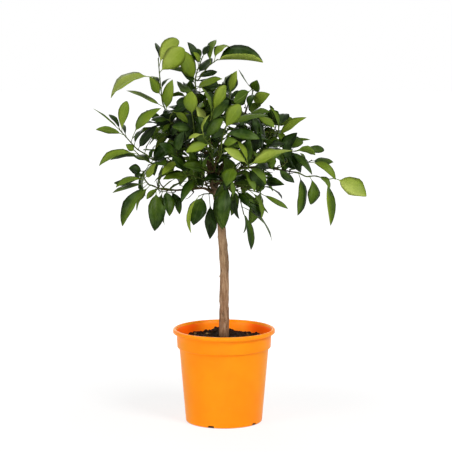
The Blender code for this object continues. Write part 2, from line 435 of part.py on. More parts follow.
def drain_cutter():
    """Round holes through the floor, one inside each notch."""
    bm = bmesh.new()
    for angle in notch_angles():
        hole = bmesh.ops.create_cone(bm, cap_ends=True, segments=DRAIN_HOLE_SIDES,
                                     radius1=DRAIN_HOLE_RADIUS, radius2=DRAIN_HOLE_RADIUS,
                                     depth=4 * FLOOR_THICKNESS)["verts"]
        bmesh.ops.translate(bm, verts=hole, vec=(DRAIN_HOLE_CIRCLE, 0, FLOOR_UNDERSIDE))
        turn_round_z(bm, hole, angle)
    return bm


def turn_round_z(bm, verts, angle):
    cosine, sine = math.cos(angle), math.sin(angle)
    for vert in verts:
        x, y, z = vert.co
        vert.co = (x * cosine - y * sine, x * sine + y * cosine, z)


def mix_surface(x, y):
    """Height of the potting mix: a low mound with lumps."""
    mound = MIX_MOUND * (1.0 - math.hypot(x, y) / COLLAR_RADIUS)
    lumps = sum(math.sin(across * x + along * y + phase) for across, along, phase in MIX_WAVES)
    return MIX_EDGE_HEIGHT + mound + MIX_BUMP * lumps


def build_potting_mix():
    """Root ball: fills the pot up to the mix's surface, with a socket round the trunk's foot."""
    socket = TRUNK_FOOT_RADIUS + GAP
    socket_floor = TRUNK_FOOT - GAP
    wall = [(radius - GAP, height) for radius, height in inner_wall()]
    wall[0] = (wall[0][0], wall[0][1] + GAP)
    top = [(radius, MIX_EDGE_HEIGHT) for radius in evenly(wall[-1][0], socket, MIX_RINGS)]
    profile = [(0.0, wall[0][1])] + wall + top + [(socket, socket_floor), (0.0, socket_floor)]
    bm = turned(profile, MIX_SEGMENTS)
    for vert in bm.verts:
        if abs(vert.co.z - MIX_EDGE_HEIGHT) < 1e-5:
            vert.co.z = mix_surface(vert.co.x, vert.co.y)
    return new_object("potting_mix", bm, material("potting_mix", SOIL_BROWN, 0.95))


# ---------------------------------------------------------------- wood

class Route:
    """Smooth centre line through its points, read by the share of its length."""

    STEPS = 10

    def __init__(self, points, radii):
        ends = [points[0] * 2 - points[1]] + list(points) + [points[-1] * 2 - points[-2]]
        self.radii = radii
        self.line = []
        for index in range(1, len(ends) - 2):
            before, start, end, after = ends[index - 1:index + 3]
            self.line += [self.bend(before, start, end, after, step / self.STEPS)
                          for step in range(self.STEPS)]
        self.line.append(points[-1])
        self.run = [0.0]
        for start, end in zip(self.line, self.line[1:]):
            self.run.append(self.run[-1] + (end - start).length)
        self.length = self.run[-1]

    @staticmethod
    def bend(before, start, end, after, t):
        """Catmull-Rom curve between start and end."""
        return 0.5 * (2 * start + (end - before) * t + (2 * before - 5 * start + 4 * end - after) * t * t
                      + (3 * start - before - 3 * end + after) * t ** 3)

    def at(self, share):
        """Point and direction at this share of the length."""
        goal = min(max(share, 0.0), 1.0) * self.length
        index = 0
        while index < len(self.run) - 2 and self.run[index + 1] < goal:
            index += 1
        start, end = self.line[index], self.line[index + 1]
        part = (goal - self.run[index]) / max(self.run[index + 1] - self.run[index], 1e-9)
        return start.lerp(end, min(part, 1.0)), (end - start).normalized()

    def radius(self, share):
        """Radius at this share of the length, between evenly spread radii."""
        place = min(max(share, 0.0), 1.0) * (len(self.radii) - 1)
        index = min(int(place), len(self.radii) - 2)
        return self.radii[index] + (self.radii[index + 1] - self.radii[index]) * (place - index)


def grown_from(parent, share, points, radii):
    """Route of a branch that starts square to its parent's surface, a gap away from it."""
    foot, along = parent.at(share)
    if share >= 1.0:
        out = along
        start = foot + out * BRANCH_GAP
    else:
        towards = points[0] - foot
        out = (towards - along * towards.dot(along)).normalized()
        start = foot + out * (parent.radius(share) + BRANCH_GAP)
    return Route([start, start + out * SPUR / 2, start + out * SPUR] + list(points), radii)


def rings(route, shares, sides, radius_of):
    """Rings of points round the route, each carried on from the last without a twist."""
    made = []
    side = None
    for share in shares:
        centre, along = route.at(share)
        if side is None:
            side = along.orthogonal().normalized()
        side = (side - along * side.dot(along)).normalized()
        up = along.cross(side)
        radius = radius_of(share)
        made.append([centre + radius * (math.cos(math.tau * k / sides) * side
                                        + math.sin(math.tau * k / sides) * up) for k in range(sides)])
    return made


def tube(bm, ring_points):
    """Closed tube through the rings. Returns the side faces, one list for each segment."""
    loops = [[bm.verts.new(point) for point in ring] for ring in ring_points]
    sides = len(loops[0])
    bm.faces.new(loops[0][::-1])
    bm.faces.new(loops[-1])
    return [[bm.faces.new((low[k], low[(k + 1) % sides], high[(k + 1) % sides], high[k]))
             for k in range(sides)] for low, high in zip(loops, loops[1:])]


def build_wood(name, route, shares, sides, bark):
    bm = bmesh.new()
    tube(bm, rings(route, shares, sides, route.radius))
    return new_object(name, bm, bark, math.radians(60.0))


# ---------------------------------------------------------------- leaves

class LeafShape:
    """Rings of four points (edge, upper side, edge, underside) from the petiole to the tip."""

    def __init__(self, base, tip, width, turn, arch, fold=FOLD):
        self.base = base
        self.tip = tip
        self.width = width
        self.fold = math.radians(fold)
        chord = tip - base
        self.length = chord.length
        along = chord.normalized()
        front = Vector((0.0, -1.0, 0.0))
        if abs(along.dot(front)) > ALMOST_PARALLEL:
            front = Vector((0.0, 0.0, 1.0))
        facing = (front - along * front.dot(along)).normalized()
        beside = facing.cross(along)
        if beside.z < -LEVEL:
            beside = -beside
        angle = math.radians(turn)
        self.upper = facing * math.cos(angle) + beside * math.sin(angle)
        self.side = self.upper.cross(along)
        self.control = base.lerp(tip, 0.5) + self.upper * (2 * arch * self.length)

    def centre(self, t):
        return (self.base * (1 - t) ** 2 + self.control * (2 * t * (1 - t)) + self.tip * t ** 2)

    def ring(self, t, half_width, half_thickness):
        along = ((self.control - self.base) * (1 - t) + (self.tip - self.control) * t).normalized()
        up = along.cross(self.side)
        reach = self.side * (math.cos(self.fold) * half_width)
        rise = up * (math.sin(self.fold) * half_width)
        centre = self.centre(t)
        return [centre + reach + rise, centre + up * half_thickness,
                centre - reach + rise, centre - up * half_thickness]

    def rings(self, extra=0.0):
        made = [self.ring(PETIOLE, PETIOLE_RADIUS + extra, PETIOLE_RADIUS + extra)]
        for t, share in BLADE_STATIONS:
            made.append(self.ring(t, self.width / 2 * share + extra, BLADE_HALF_THICKNESS + extra))
        return made

    def tree(self):
        """Search tree of the blade and the petiole, a little larger than the leaf itself."""
        loops = [self.ring(PETIOLE / 3, PETIOLE_RADIUS + CLEARANCE, PETIOLE_RADIUS + CLEARANCE)]
        loops += self.rings(CLEARANCE)
        return strip_tree(loops, self.tip + (self.tip - self.control).normalized() * CLEARANCE)


def strip_tree(loops, point=None):
    """Search tree of a skin through loops of points, closed in a point if one is given."""
    verts = [vertex for loop in loops for vertex in loop]
    count = len(loops[0])
    faces = []
    for row in range(len(loops) - 1):
        for k in range(count):
            a, b = row * count + k, row * count + (k + 1) % count
            faces += [(a, b, b + count), (a, b + count, a + count)]
    if point is not None:
        verts.append(point)
        last = (len(loops) - 1) * count
        faces += [(last + k, last + (k + 1) % count, len(verts) - 1) for k in range(count)]
    low = [min(vertex[axis] for vertex in verts) for axis in range(3)]
    high = [max(vertex[axis] for vertex in verts) for axis in range(3)]
    return {"tree": BVHTree.FromPolygons(verts, faces), "low": low, "high": high}


def clear_of(candidate, others):
    for other in others:
        apart = any(candidate["low"][axis] > other["high"][axis]
                    or candidate["high"][axis] < other["low"][axis] for axis in range(3))
        if not apart and candidate["tree"].overlap(other["tree"]):
            return False
    return True


def node_places(route, leaves):
    """Shares of the twig's length at which its leaves stand, kept apart and off both ends."""
    first, last = 2 * SPUR / 3 + NODE_HALF, route.length - 2 * NODE_HALF
    places = [min(max(each["at"] * route.length, first), last) for each in leaves]
    for index in range(1, len(places)):
        places[index] = max(places[index], places[index - 1] + NODE_SPACING)
    limit = last
    for index in reversed(range(len(places))):
        places[index] = min(places[index], limit)
        limit = places[index] - NODE_SPACING
    return [place / route.length for place in places]


def settle(base, spec, others):
    """The leaf's shape in the first small shift that lies clear, or None where none does."""
    for roll, front, up in SHIFTS:
        tip = spec["tip"] + Vector((0.0, -front * CM, up * CM))
        shape = LeafShape(base, tip, spec["width"] * CM, spec["turn"] + roll, spec["arch"],
                          spec["fold"])
        if clear_of(shape.tree(), others):
            return shape
    return None


def grow_leaf(bm, face, shape):
    """Extrudes the twig's face along the leaf's rings, and closes it in the tip."""
    for ring in shape.rings():
        face = bmesh.ops.extrude_discrete_faces(bm, faces=[face])["faces"][0]
        corners = [loop.vert for loop in face.loops]
        offset = min(range(4), key=lambda shift: sum((corners[k].co - ring[(k + shift) % 4]).length
                                                     for k in range(4)))
        for k, corner in enumerate(corners):
            corner.co = ring[(k + offset) % 4]
    bmesh.ops.poke(bm, faces=[face])["verts"][0].co = shape.tip


def twig_frame(route, places):
    """Shares of the length at which the twig has a ring: two round each leaf's node."""
    half = NODE_HALF / route.length
    shares = [0.0, SPUR / 2 / route.length]
    for place in places:
        shares += [place - half, place + half]
    return shares + [1.0]


def build_shoot(name, route, leaves, others, own_twig, green):
    """One leafy shoot as a single closed solid. Adds its leaves to what later leaves avoid."""
    places = node_places(route, leaves)
    bm = bmesh.new()
    segments = tube(bm, rings(route, twig_frame(route, places), TWIG_SIDES, route.radius))
    dropped = 0
    for index, (place, spec) in enumerate(zip(places, leaves)):
        centre, _ = route.at(place)
        node = segments[2 + 2 * index]
        face = max(node, key=lambda side: (side.calc_center_median() - centre).normalized().dot(
            (spec["tip"] - centre).normalized()))
        base = face.calc_center_median()
        shape = settle(base, spec, [other for other in others if other is not own_twig])
        if shape is None:
            dropped += 1
            continue
        grow_leaf(bm, face, shape)
        others.append(shape.tree())
    if dropped:
        print(name, "leaves without room:", dropped)
    return new_object(name, bm, green, math.radians(60.0))


def ruled_leaves(route, count, first_turn):
    """Leaf specs spread round a twig by the golden angle, upper sides towards its end."""
    made = []
    for index, share in enumerate(evenly(RULED_FIRST, 1.0, count)):
        foot, along = route.at(share)
        side = along.orthogonal().normalized()
        angle = first_turn + GOLDEN_TURN * index
        out = side * math.cos(angle) + along.cross(side) * math.sin(angle)
        wave = math.cos(RULED_LENGTH_TURN * index + first_turn)
        length = RULED_LENGTH * (1.0 - RULED_SHORTER * (1.0 - wave))
        tip = foot + length * (along * math.cos(RULED_SPREAD) + out * math.sin(RULED_SPREAD))
        tip.z -= RULED_DROOP
        made.append({"at": share, "tip": tip, "width": RULED_WIDTH, "arch": RULED_ARCH,
                     "fold": FOLD, "turn": rolled_up(foot, tip, along)})
    return made


def rolled_up(base, tip, along):
    """The turn that brings a leaf's upper side towards the sky and the end of its twig."""
    wanted = Vector((0.0, 0.0, 1.0)) + along * TWIG_PULL
    return max(range(-180, 180, ROLL_STEP), key=lambda turn: LeafShape(
        base, tip, RULED_WIDTH * CM, turn, RULED_ARCH).upper.dot(wanted))


def remove_startup_objects():
    for item in list(bpy.data.objects):
        bpy.data.objects.remove(item)


def build_tree():
    """Trunk, limbs and leafy shoots. All the wood is placed before the first leaf."""
    bark = material("bark", BARK, 0.85)
    green = material("leaf", LEAF_GREEN, 0.45)
    trunk = Route([Vector((x, y, z)) * CM for x, y, z, _ in TRUNK_LINE],
                  trunk_radii([radius for _, _, _, radius in TRUNK_LINE]))
    routes = {"trunk": trunk}
    build_wood("trunk", trunk, evenly(0.0, 1.0, TRUNK_RINGS), TRUNK_SIDES, bark)
    for name, parent, share, foot, end, points in LIMBS:
        routes[name] = grown_from(routes[parent], share, [placed(*point) for point in points],
                                  (foot / 1000, end / 1000))
        build_wood(name, routes[name], [0.0] + evenly(LIMB_SECOND_RING, 1.0, LIMB_RINGS),
                   LIMB_SIDES, bark)
    jobs = []
    twig = (TWIG_FOOT_RADIUS, TWIG_END_RADIUS)
    for name, parent, share, points, leaves in SHOOTS:
        routes[name] = grown_from(routes[parent], share, [placed(*point) for point in points], twig)
        jobs.append((name, [dict(each, tip=placed(*each["tip"])) for each in leaves]))
    for number, (name, parent, share, end, count) in enumerate(RULED_SHOOTS):
        foot, _ = routes[parent].at(share)
        goal = placed(*end)
        points = [foot.lerp(goal, 0.5) + Vector((0.0, 0.0, RULED_TWIG_RISE)), goal]
        routes[name] = grown_from(routes[parent], share, points, twig)
        jobs.append((name, ruled_leaves(routes[name], count, float(number))))
    wood = {name: strip_tree(rings(route, evenly(0.0, 1.0, WOOD_RINGS), WOOD_SIDES,
                                   lambda share, route=route: route.radius(share) + CLEARANCE))
            for name, route in routes.items()}
    others = list(wood.values())
    for name, leaves in jobs:
        build_shoot(name, routes[name], leaves, others, wood[name], green)


def trunk_radii(radii):
    """The trunk's radii in metres, read again at even steps of height."""
    heights = [point[2] for point in TRUNK_LINE]
    made = []
    for height in evenly(heights[0], heights[-1], TRUNK_RINGS):
        index = max(k for k in range(len(heights) - 1) if heights[k] <= height + 1e-9)
        part = (height - heights[index]) / (heights[index + 1] - heights[index])
        made.append((radii[index] + (radii[index + 1] - radii[index]) * part) / 1000)
    return made


remove_startup_objects()
build_pot()
build_potting_mix()
build_tree()
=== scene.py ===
"""Looks of the potted orange tree: a young citrus standard in an orange nursery pot.

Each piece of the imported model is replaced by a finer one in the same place. Lengths are metres, +Z is
up and -Y is the front. Places in the crown are in centimetres, as explained at EYE.
"""

import json
import math
import random

import bmesh
import bpy
import numpy as np
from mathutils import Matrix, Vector, noise
from mathutils.bvhtree import BVHTree

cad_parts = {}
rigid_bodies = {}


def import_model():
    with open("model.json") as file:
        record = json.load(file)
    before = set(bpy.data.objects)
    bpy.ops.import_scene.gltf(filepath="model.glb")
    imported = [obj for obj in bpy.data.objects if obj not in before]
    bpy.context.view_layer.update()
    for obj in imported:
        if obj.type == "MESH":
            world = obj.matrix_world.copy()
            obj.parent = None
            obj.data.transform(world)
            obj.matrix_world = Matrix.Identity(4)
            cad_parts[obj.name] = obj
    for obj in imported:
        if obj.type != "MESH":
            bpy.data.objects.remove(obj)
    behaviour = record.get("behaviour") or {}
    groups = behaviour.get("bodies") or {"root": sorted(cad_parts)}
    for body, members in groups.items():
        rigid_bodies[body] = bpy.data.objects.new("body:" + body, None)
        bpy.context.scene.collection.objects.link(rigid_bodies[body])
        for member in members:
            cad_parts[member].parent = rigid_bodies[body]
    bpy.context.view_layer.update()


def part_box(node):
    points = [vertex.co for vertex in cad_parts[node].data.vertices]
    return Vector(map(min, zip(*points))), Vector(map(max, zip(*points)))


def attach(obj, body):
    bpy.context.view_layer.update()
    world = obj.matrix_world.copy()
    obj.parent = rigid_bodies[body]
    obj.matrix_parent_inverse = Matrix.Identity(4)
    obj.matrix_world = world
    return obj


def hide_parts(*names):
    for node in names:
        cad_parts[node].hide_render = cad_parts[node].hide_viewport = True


for item in list(bpy.data.objects):
    bpy.data.objects.remove(item)
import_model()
noise.seed_set(1)           # noise_vector() differs from run to run without one

# ---------------------------------------------------------------- sizes

# Pot
RIM_FULLNESS = 1.012        # the lip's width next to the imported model's
RIM_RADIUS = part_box("pot")[1].x * RIM_FULLNESS
POT_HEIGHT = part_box("pot")[1].z
LIP_DROP = 0.0080           # height of the rolled lip's outer skirt
LIP_ROUND = 0.0034          # of the lip's upper edge
SKIRT_ROUND = 0.0007        # of the lip's lower edge
COLLAR_RADIUS = 0.0941      # outside of the collar band, just under the lip
COLLAR_TAPER = 0.0012       # how much narrower the collar is at its lower end
COLLAR_BOTTOM = 0.1497
COLLAR_ROUND = 0.0012       # of the collar's lower edge and of the hollow under it
STEP_ROUND = 0.0020         # height over which the body widens to the collar
SHOULDER_RADIUS = 0.0886
FOOT_RADIUS = 0.0759
FOOT_ROUND = 0.0010
WALL = 0.0015
FLOOR_UNDERSIDE = 0.0045
FLOOR_TOP = 0.0070
FLOOR_ROUND = 0.0030        # of the inner corner of wall and floor
BASE_PAD_RADIUS = 0.030
SKIRT_THICKNESS = 0.0035    # of the ring that the pot stands on
# painted shade: the inside of the pot's wall is coloured deeper towards its left and right ends
PAINTED_SHADE_SPAN = (0.036, 0.066)   # how far from the middle the inside of the wall deepens in colour
POT_SIDES = 120
NOTCH_COUNT = 5
NOTCH_WIDTH = 0.013
NOTCH_HEIGHT = 0.0042
NOTCH_DEPTH = 0.020         # of the block that cuts a notch
NOTCH_ROUND = 0.0016
FIRST_NOTCH = math.radians(-90.0 - 19.7)
DRAIN_HOLE_RADIUS = 0.005
DRAIN_HOLE_CIRCLE = 0.060
DRAIN_ROD_LENGTH = 0.012
CUT_BELOW = 0.004           # how far a notch's block reaches below the ground
SMOOTH_ANGLE = math.radians(38.0)
SAME = 1e-5                 # metres within which two points are one

# Potting mix
MIX_EDGE_HEIGHT = 0.1650
MIX_MOUND = 0.0085          # rise from the wall to the trunk
MIX_SINK = 0.0044           # how far the hollows between the crumbs lie below that
MIX_WAVE = 0.0009
MIX_WAVES = ((143, 71, 0.4), (-118, 97, 1.7), (211, -63, 2.9), (54, 187, 0.0))   # per metre, phase
MIX_GAP = 0.0003            # between the mix and the wall
MIX_UNDERSIDE = (0.0600, 0.0082)    # radius and height of its flat underside
MIX_FOOT = 0.010            # height at which it meets the wall
MIX_SOCKET = 0.0094         # radius of the hole that the trunk stands in
MIX_RINGS = 46
MIX_SIDES = 200
MIX_GRAIN = 0.006           # size of the patches of the bed's tone
HEAP = Vector((-0.006, 0.046))      # where the mix is heaped up, behind the trunk
HEAP_RISE = 0.0105
HEAP_REACH = 0.026
CRUMB_SIZE = 0.0060         # of the crumbs that stand out of the bed, and their rise
CRUMB_RISE = 0.0022
GRIT_SIZE = 0.0026          # of the finer grain on them, and its rise
GRIT_RISE = 0.0012

# Loose crumbs on the mix
CRUMBS = 1100
CRUMB_SHAPES = 4
CRUMB_LUMPS = 0.62          # how uneven a crumb is
CRUMB_LEAST = 0.0009        # radius of the smallest, and what the largest has more
CRUMB_MORE = 0.0022
CRUMB_FEW_LARGE = 2.4       # how rare the large ones are
CRUMB_LUMP_COUNT = 1.9      # lumps per radius
CRUMB_SHAPES_APART = 7.0    # how far apart in the noise the shapes are taken
CRUMB_SEED = 4
CHIPS = 0.10                # share of the crumbs that are long chips of bark
CHIP_SIZE = 0.75            # of a chip, next to a crumb
PALE_CHIPS = 0.5            # shares of the chips and of the other crumbs that are pale, and tones
PALE_CRUMBS = 0.07
PALE_TONES = (0.45, 0.9)
DARK_TONES = (0.0, 0.34)
CRUMBS_FROM = 0.0105        # the ring of places: its inner radius, and how much narrower it is than the bed
CRUMBS_MARGIN = 0.0135
CRUMB_OFF_WALL = 0.0006
CRUMB_OFF_TRUNK = 0.0100

# Wood
TWIG_END_RADIUS = 0.0009
TWIG_RADII = (0.0015, TWIG_END_RADIUS)
BARE_RADII = (TWIG_END_RADIUS, TWIG_END_RADIUS * 0.6)
NODE_HALF = 0.0011          # half of a leaf's own stretch of twig
NODE_SPACING = 0.0030       # least distance between two leaves along a twig
TRUNK_RINGS = 18
TWIG_SIDES = 5
SPUR = 0.0040               # a branch leaves its parent square to it, for this long
BRANCH_GAP = 0.0005
WOOD_RINGS = 31             # of the simpler tubes that leaves are tested against
WOOD_SIDES = 6
LIMB_SLENDER = 0.72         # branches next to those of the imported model
TRUNK_FULLNESS = 1.04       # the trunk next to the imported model's
TRUNK_STEPS = 150
LIMB_STEPS = 56
ROOTED = 0.7                # how far into its parent a branch starts, as a share of the way to its middle
ROOTED_END = 0.004          # the same where it carries on from its parent's end
LIMB_COLLARS = (0.62, 0.96)     # radius at its foot, next to the parent's: on its side, and on its end
TWIG_COLLARS = (0.55, 0.90)
LIMB_FLARE = 0.008          # how far out it is still thickened by that collar
TWIG_FLARE = 0.005
TWIG_TONE = (0.175, 0.25)   # of a leafy twig: the least, and how much of its palest leaf's is added
LIMB_TONE = (0.25, 0.6)     # of a branch: at its foot, and what its end has more
LIMB_WAVE = 0.07
LIMB_WAVES = 330.0          # per metre
KNOT = 0.32                 # how much thicker a twig is at a leaf, how thick two close ones make it at
KNOT_LIMIT = 1.2            # most, and for how long
KNOT_HALF = 0.0016
TRUNK_BARK = ((0.00045, 0.006, 1.0, 0.35), (0.00070, 0.016, 0.4, 1.0))  # rise, size, level and upright share
LIMB_BARK = (0.00035, 0.005)

# Old bud scars of the trunk: height, bearing in degrees (0 is +X, 270 the front), size, how far it
# stands out
SCARS = (
    (0.368, 185.0, 0.0030, 0.0012), (0.290, 178.0, 0.0026, 0.0014), (0.352, 20.0, 0.0060, 0.0011),
    (0.332, 262.0, 0.0040, 0.0009), (0.318, 340.0, 0.0045, 0.0009), (0.262, 300.0, 0.0034, 0.0008),
    (0.240, 200.0, 0.0040, 0.0008), (0.225, 350.0, 0.0050, 0.0009), (0.205, 250.0, 0.0036, 0.0007),
    (0.386, 300.0, 0.0030, 0.0008), (0.405, 40.0, 0.0036, 0.0009), (0.300, 90.0, 0.0034, 0.0009),
)
SCAR_FLATNESS = 1.4         # how much wider than high a scar is

# Leaves, as fractions of the length from twig to tip
PETIOLE = 0.15
PETIOLE_RADIUS = 0.0008
BLADE_STATIONS = ((0.38, 0.88), (0.68, 0.80))
BLADE_HALF_THICKNESS = 0.00045
FOLD = 14.0                 # degrees that each half of the blade rises from the midrib
CLEARANCE = 0.0007          # kept free round leaves and wood
ALMOST_PARALLEL = 0.95      # a leaf this much in line with the view faces up, not to the front
LEVEL = 0.05                # a sideways direction that falls by more than this is turned round

# The flat leaves that all others are bent from
LEAF_LENGTH = 0.070
LEAF_WIDTH = 0.024
LEAF_COLUMNS = 4
SEEN_ROWS = (-0.02, 0.06, 0.13, 0.17, 0.23, 0.32, 0.44, 0.57, 0.70, 0.82, 0.91, 0.97, 1.0)
INNER_ROWS = (-0.02, 0.06, 0.13, 0.18, 0.30, 0.50, 0.72, 0.89, 1.0)
PETIOLE_ROWS = 3            # rows of the petiole, which come first
PETIOLE_EDGE = 0.75         # the petiole's thickness beside its middle
BLADE_THICKNESS = 0.0004
RIB_THICKNESS = 0.0007
BLADE_FROM = 0.12           # where the blade's fold and ripples set in, and over what length
BLADE_SETS_IN = 0.06
SIDES_APART = 0.31          # between the ripples of the two halves, in waves
POINTED_OUTLINE = (0.93, 0.80, 0.04)    # how near the twig it is widest, how fast it narrows from there,
BLUNT_OUTLINE = (1.45, 0.60, 0.12)      # and how wide its end is
VEIN_PAIRS = 13
LEAF_SEED = 11

# Sprigs and bare twigs inside the crown
BARE_TWIGS = 7
BARE_SPAN = (0.12, 0.92)    # stretch of the limb that they fork off
BARE_REACH = 0.050
BARE_OUT = 0.9              # how far they stand off the limb, next to how far they lean along it
BARE_LEAN = 0.7
BARE_RISE = 0.3             # of their ends, as a share of their reach
FILLER_SHARES = (0.35, 0.6, 0.85)
FILLER_FIRST = 0.018        # from the limb to the middle and to the end of the twig
FILLER_TWIG = 0.034
FILLER_RISE = 0.004
FILLER_LEAN = 0.5           # how far it leans along the limb and upwards, where straight out counts as 1
FILLER_LIFT = 0.35
FILLER_LEAVES = 6
DENSE_CENTRE = Vector((-0.010, 0.0, 0.555))
DENSE_REACH = Vector((0.135, 1.0, 0.105))

# The crown's places below are in centimetres: across, depth (the front is negative) and up, as they
# line up on the tree's middle plane for an eye at EYE. placed() takes each to its true place.
EYE = Vector((0.0, -3.5, 0.844))
CM = 0.01
CAMERA_TILT = 7.39          # degrees that the camera looks down
CAMERA_ASIDE = 0.004        # how far it stands to the right of the tree
LENS = 142.57               # millimetres, for a sensor of this width
SENSOR_WIDTH = 36.0
ROOM_LIGHT = 0.33           # light from all around, next to the backdrop's white
GROUND_SIZE = 24.0
GROUND_SINK = 0.0005        # how far the ground lies below the pot


def placed(x, y, z):
    """True place of a point seen at (x, z) on the middle plane that lies at depth y."""
    on_plane = Vector((x * CM, 0.0, z * CM))
    return EYE + (on_plane - EYE) * ((y * CM - EYE.y) / -EYE.y)


# Centre line of the trunk in centimetres, and its radius in millimetres
TRUNK_LINE = (
    (0.00, 0, 13.0, 10.0), (0.00, 0, 17.6, 9.9), (0.03, 0, 21.7, 9.2), (0.05, 0, 25.8, 9.0),
    (0.10, 0, 29.9, 8.4), (0.02, 0, 32.4, 8.8), (-0.10, 0, 34.2, 8.7), (-0.30, 0, 36.4, 7.9),
    (-0.60, 0, 40.0, 7.7), (-1.20, 0, 44.0, 7.3), (-2.00, 0, 47.0, 6.8), (-2.60, 0, 50.0, 6.0),
    (-3.30, 0, 53.0, 5.2),
)

# Limbs: name, parent, where on the parent (0 foot, 1 end), foot and end radius in mm, places
LIMBS = (
    ("limb_upper_left", "trunk", 1.0, 4.4, 2.0,
     ((-5.4, -0.5, 54.4), (-7.5, -1.0, 55.4), (-9.0, -1.5, 57.5), (-10.5, -1.5, 60.0))),
    ("limb_centre", "trunk", 0.955, 3.8, 2.0,
     ((-2.7, 3.0, 54.4), (-3.5, 4.0, 57.6), (-4.5, 3.6, 61.0), (-5.2, 2.6, 64.6))),
    ("limb_left", "trunk", 0.93, 3.6, 1.9,
     ((-5.0, -1.6, 50.9), (-7.6, -3.0, 51.4), (-11.0, -3.6, 51.8), (-14.0, -3.6, 52.3))),
    ("limb_low_left", "trunk", 0.825, 3.6, 1.9,
     ((-4.0, -1.6, 46.5), (-6.5, -3.2, 46.3), (-9.8, -4.2, 46.1), (-12.2, -4.6, 46.3),
      (-13.8, -4.6, 46.9))),
    ("limb_front", "trunk", 0.85, 3.8, 1.9,
     ((-2.2, -3.0, 47.9), (-2.0, -6.0, 49.3), (-1.7, -9.0, 51.0), (-0.9, -11.0, 53.2))),
    ("limb_upper_right", "trunk", 0.885, 3.8, 1.8,
     ((-1.0, 1.8, 49.6), (0.3, 2.6, 52.4), (1.6, 3.0, 55.0), (3.0, 3.0, 58.0), (4.0, 2.6, 61.0),
      (4.9, 2.0, 63.5))),
    ("limb_right", "trunk", 0.865, 3.6, 1.9,
     ((0.0, -1.6, 48.2), (1.8, -2.6, 49.6), (3.6, -3.1, 50.4), (6.5, -3.3, 50.7),
      (10.0, -3.3, 50.3), (14.2, -3.0, 49.6))),
    ("limb_low_right", "trunk", 0.79, 3.2, 1.8,
     ((0.4, -1.6, 46.1), (1.8, -2.8, 46.9), (3.2, -3.8, 47.0))),
    ("limb_right_middle", "limb_upper_right", 0.42, 3.0, 1.8,
     ((3.4, 2.2, 54.8), (6.0, 1.0, 55.2), (8.4, 0.0, 55.8), (10.0, -0.5, 56.5))),
    ("limb_back_left", "trunk", 0.905, 3.6, 1.9,
     ((-4.0, 3.5, 50.8), (-6.5, 8.0, 53.0), (-9.0, 11.5, 56.0))),
    ("limb_back_right", "trunk", 0.842, 3.6, 1.9,
     ((0.0, 3.6, 48.6), (3.8, 8.0, 50.6), (7.5, 11.5, 53.5))),
    ("limb_back_low", "trunk", 0.80, 3.4, 1.8,
     ((-2.2, 4.0, 45.9), (-3.2, 9.0, 46.8), (-4.0, 13.0, 48.6))),
    ("limb_back_upper", "limb_centre", 0.36, 2.8, 1.8,
     ((-2.0, 7.0, 58.6), (0.0, 9.5, 61.0), (1.4, 10.5, 63.8))),
)


def swayed(across=0.0, up=0.0, tip_across=0.0, tip_up=0.0):
    """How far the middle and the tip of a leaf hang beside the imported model's."""
    return (across, 0.0, up), (tip_across, 0.0, tip_up)


def leaf(at, tip, width, turn, tone, arch=0.10, blunt=False, **manner):
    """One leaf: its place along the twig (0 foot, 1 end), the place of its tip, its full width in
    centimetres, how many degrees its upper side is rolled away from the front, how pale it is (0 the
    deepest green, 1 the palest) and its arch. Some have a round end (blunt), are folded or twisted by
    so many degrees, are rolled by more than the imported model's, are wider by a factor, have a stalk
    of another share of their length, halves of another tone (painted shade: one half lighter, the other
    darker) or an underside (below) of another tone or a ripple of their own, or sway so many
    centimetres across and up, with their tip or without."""
    return {"at": at, "tip": tip, "width": width, "turn": turn, "tone": tone, "arch": arch, "blunt": blunt,
            **manner}


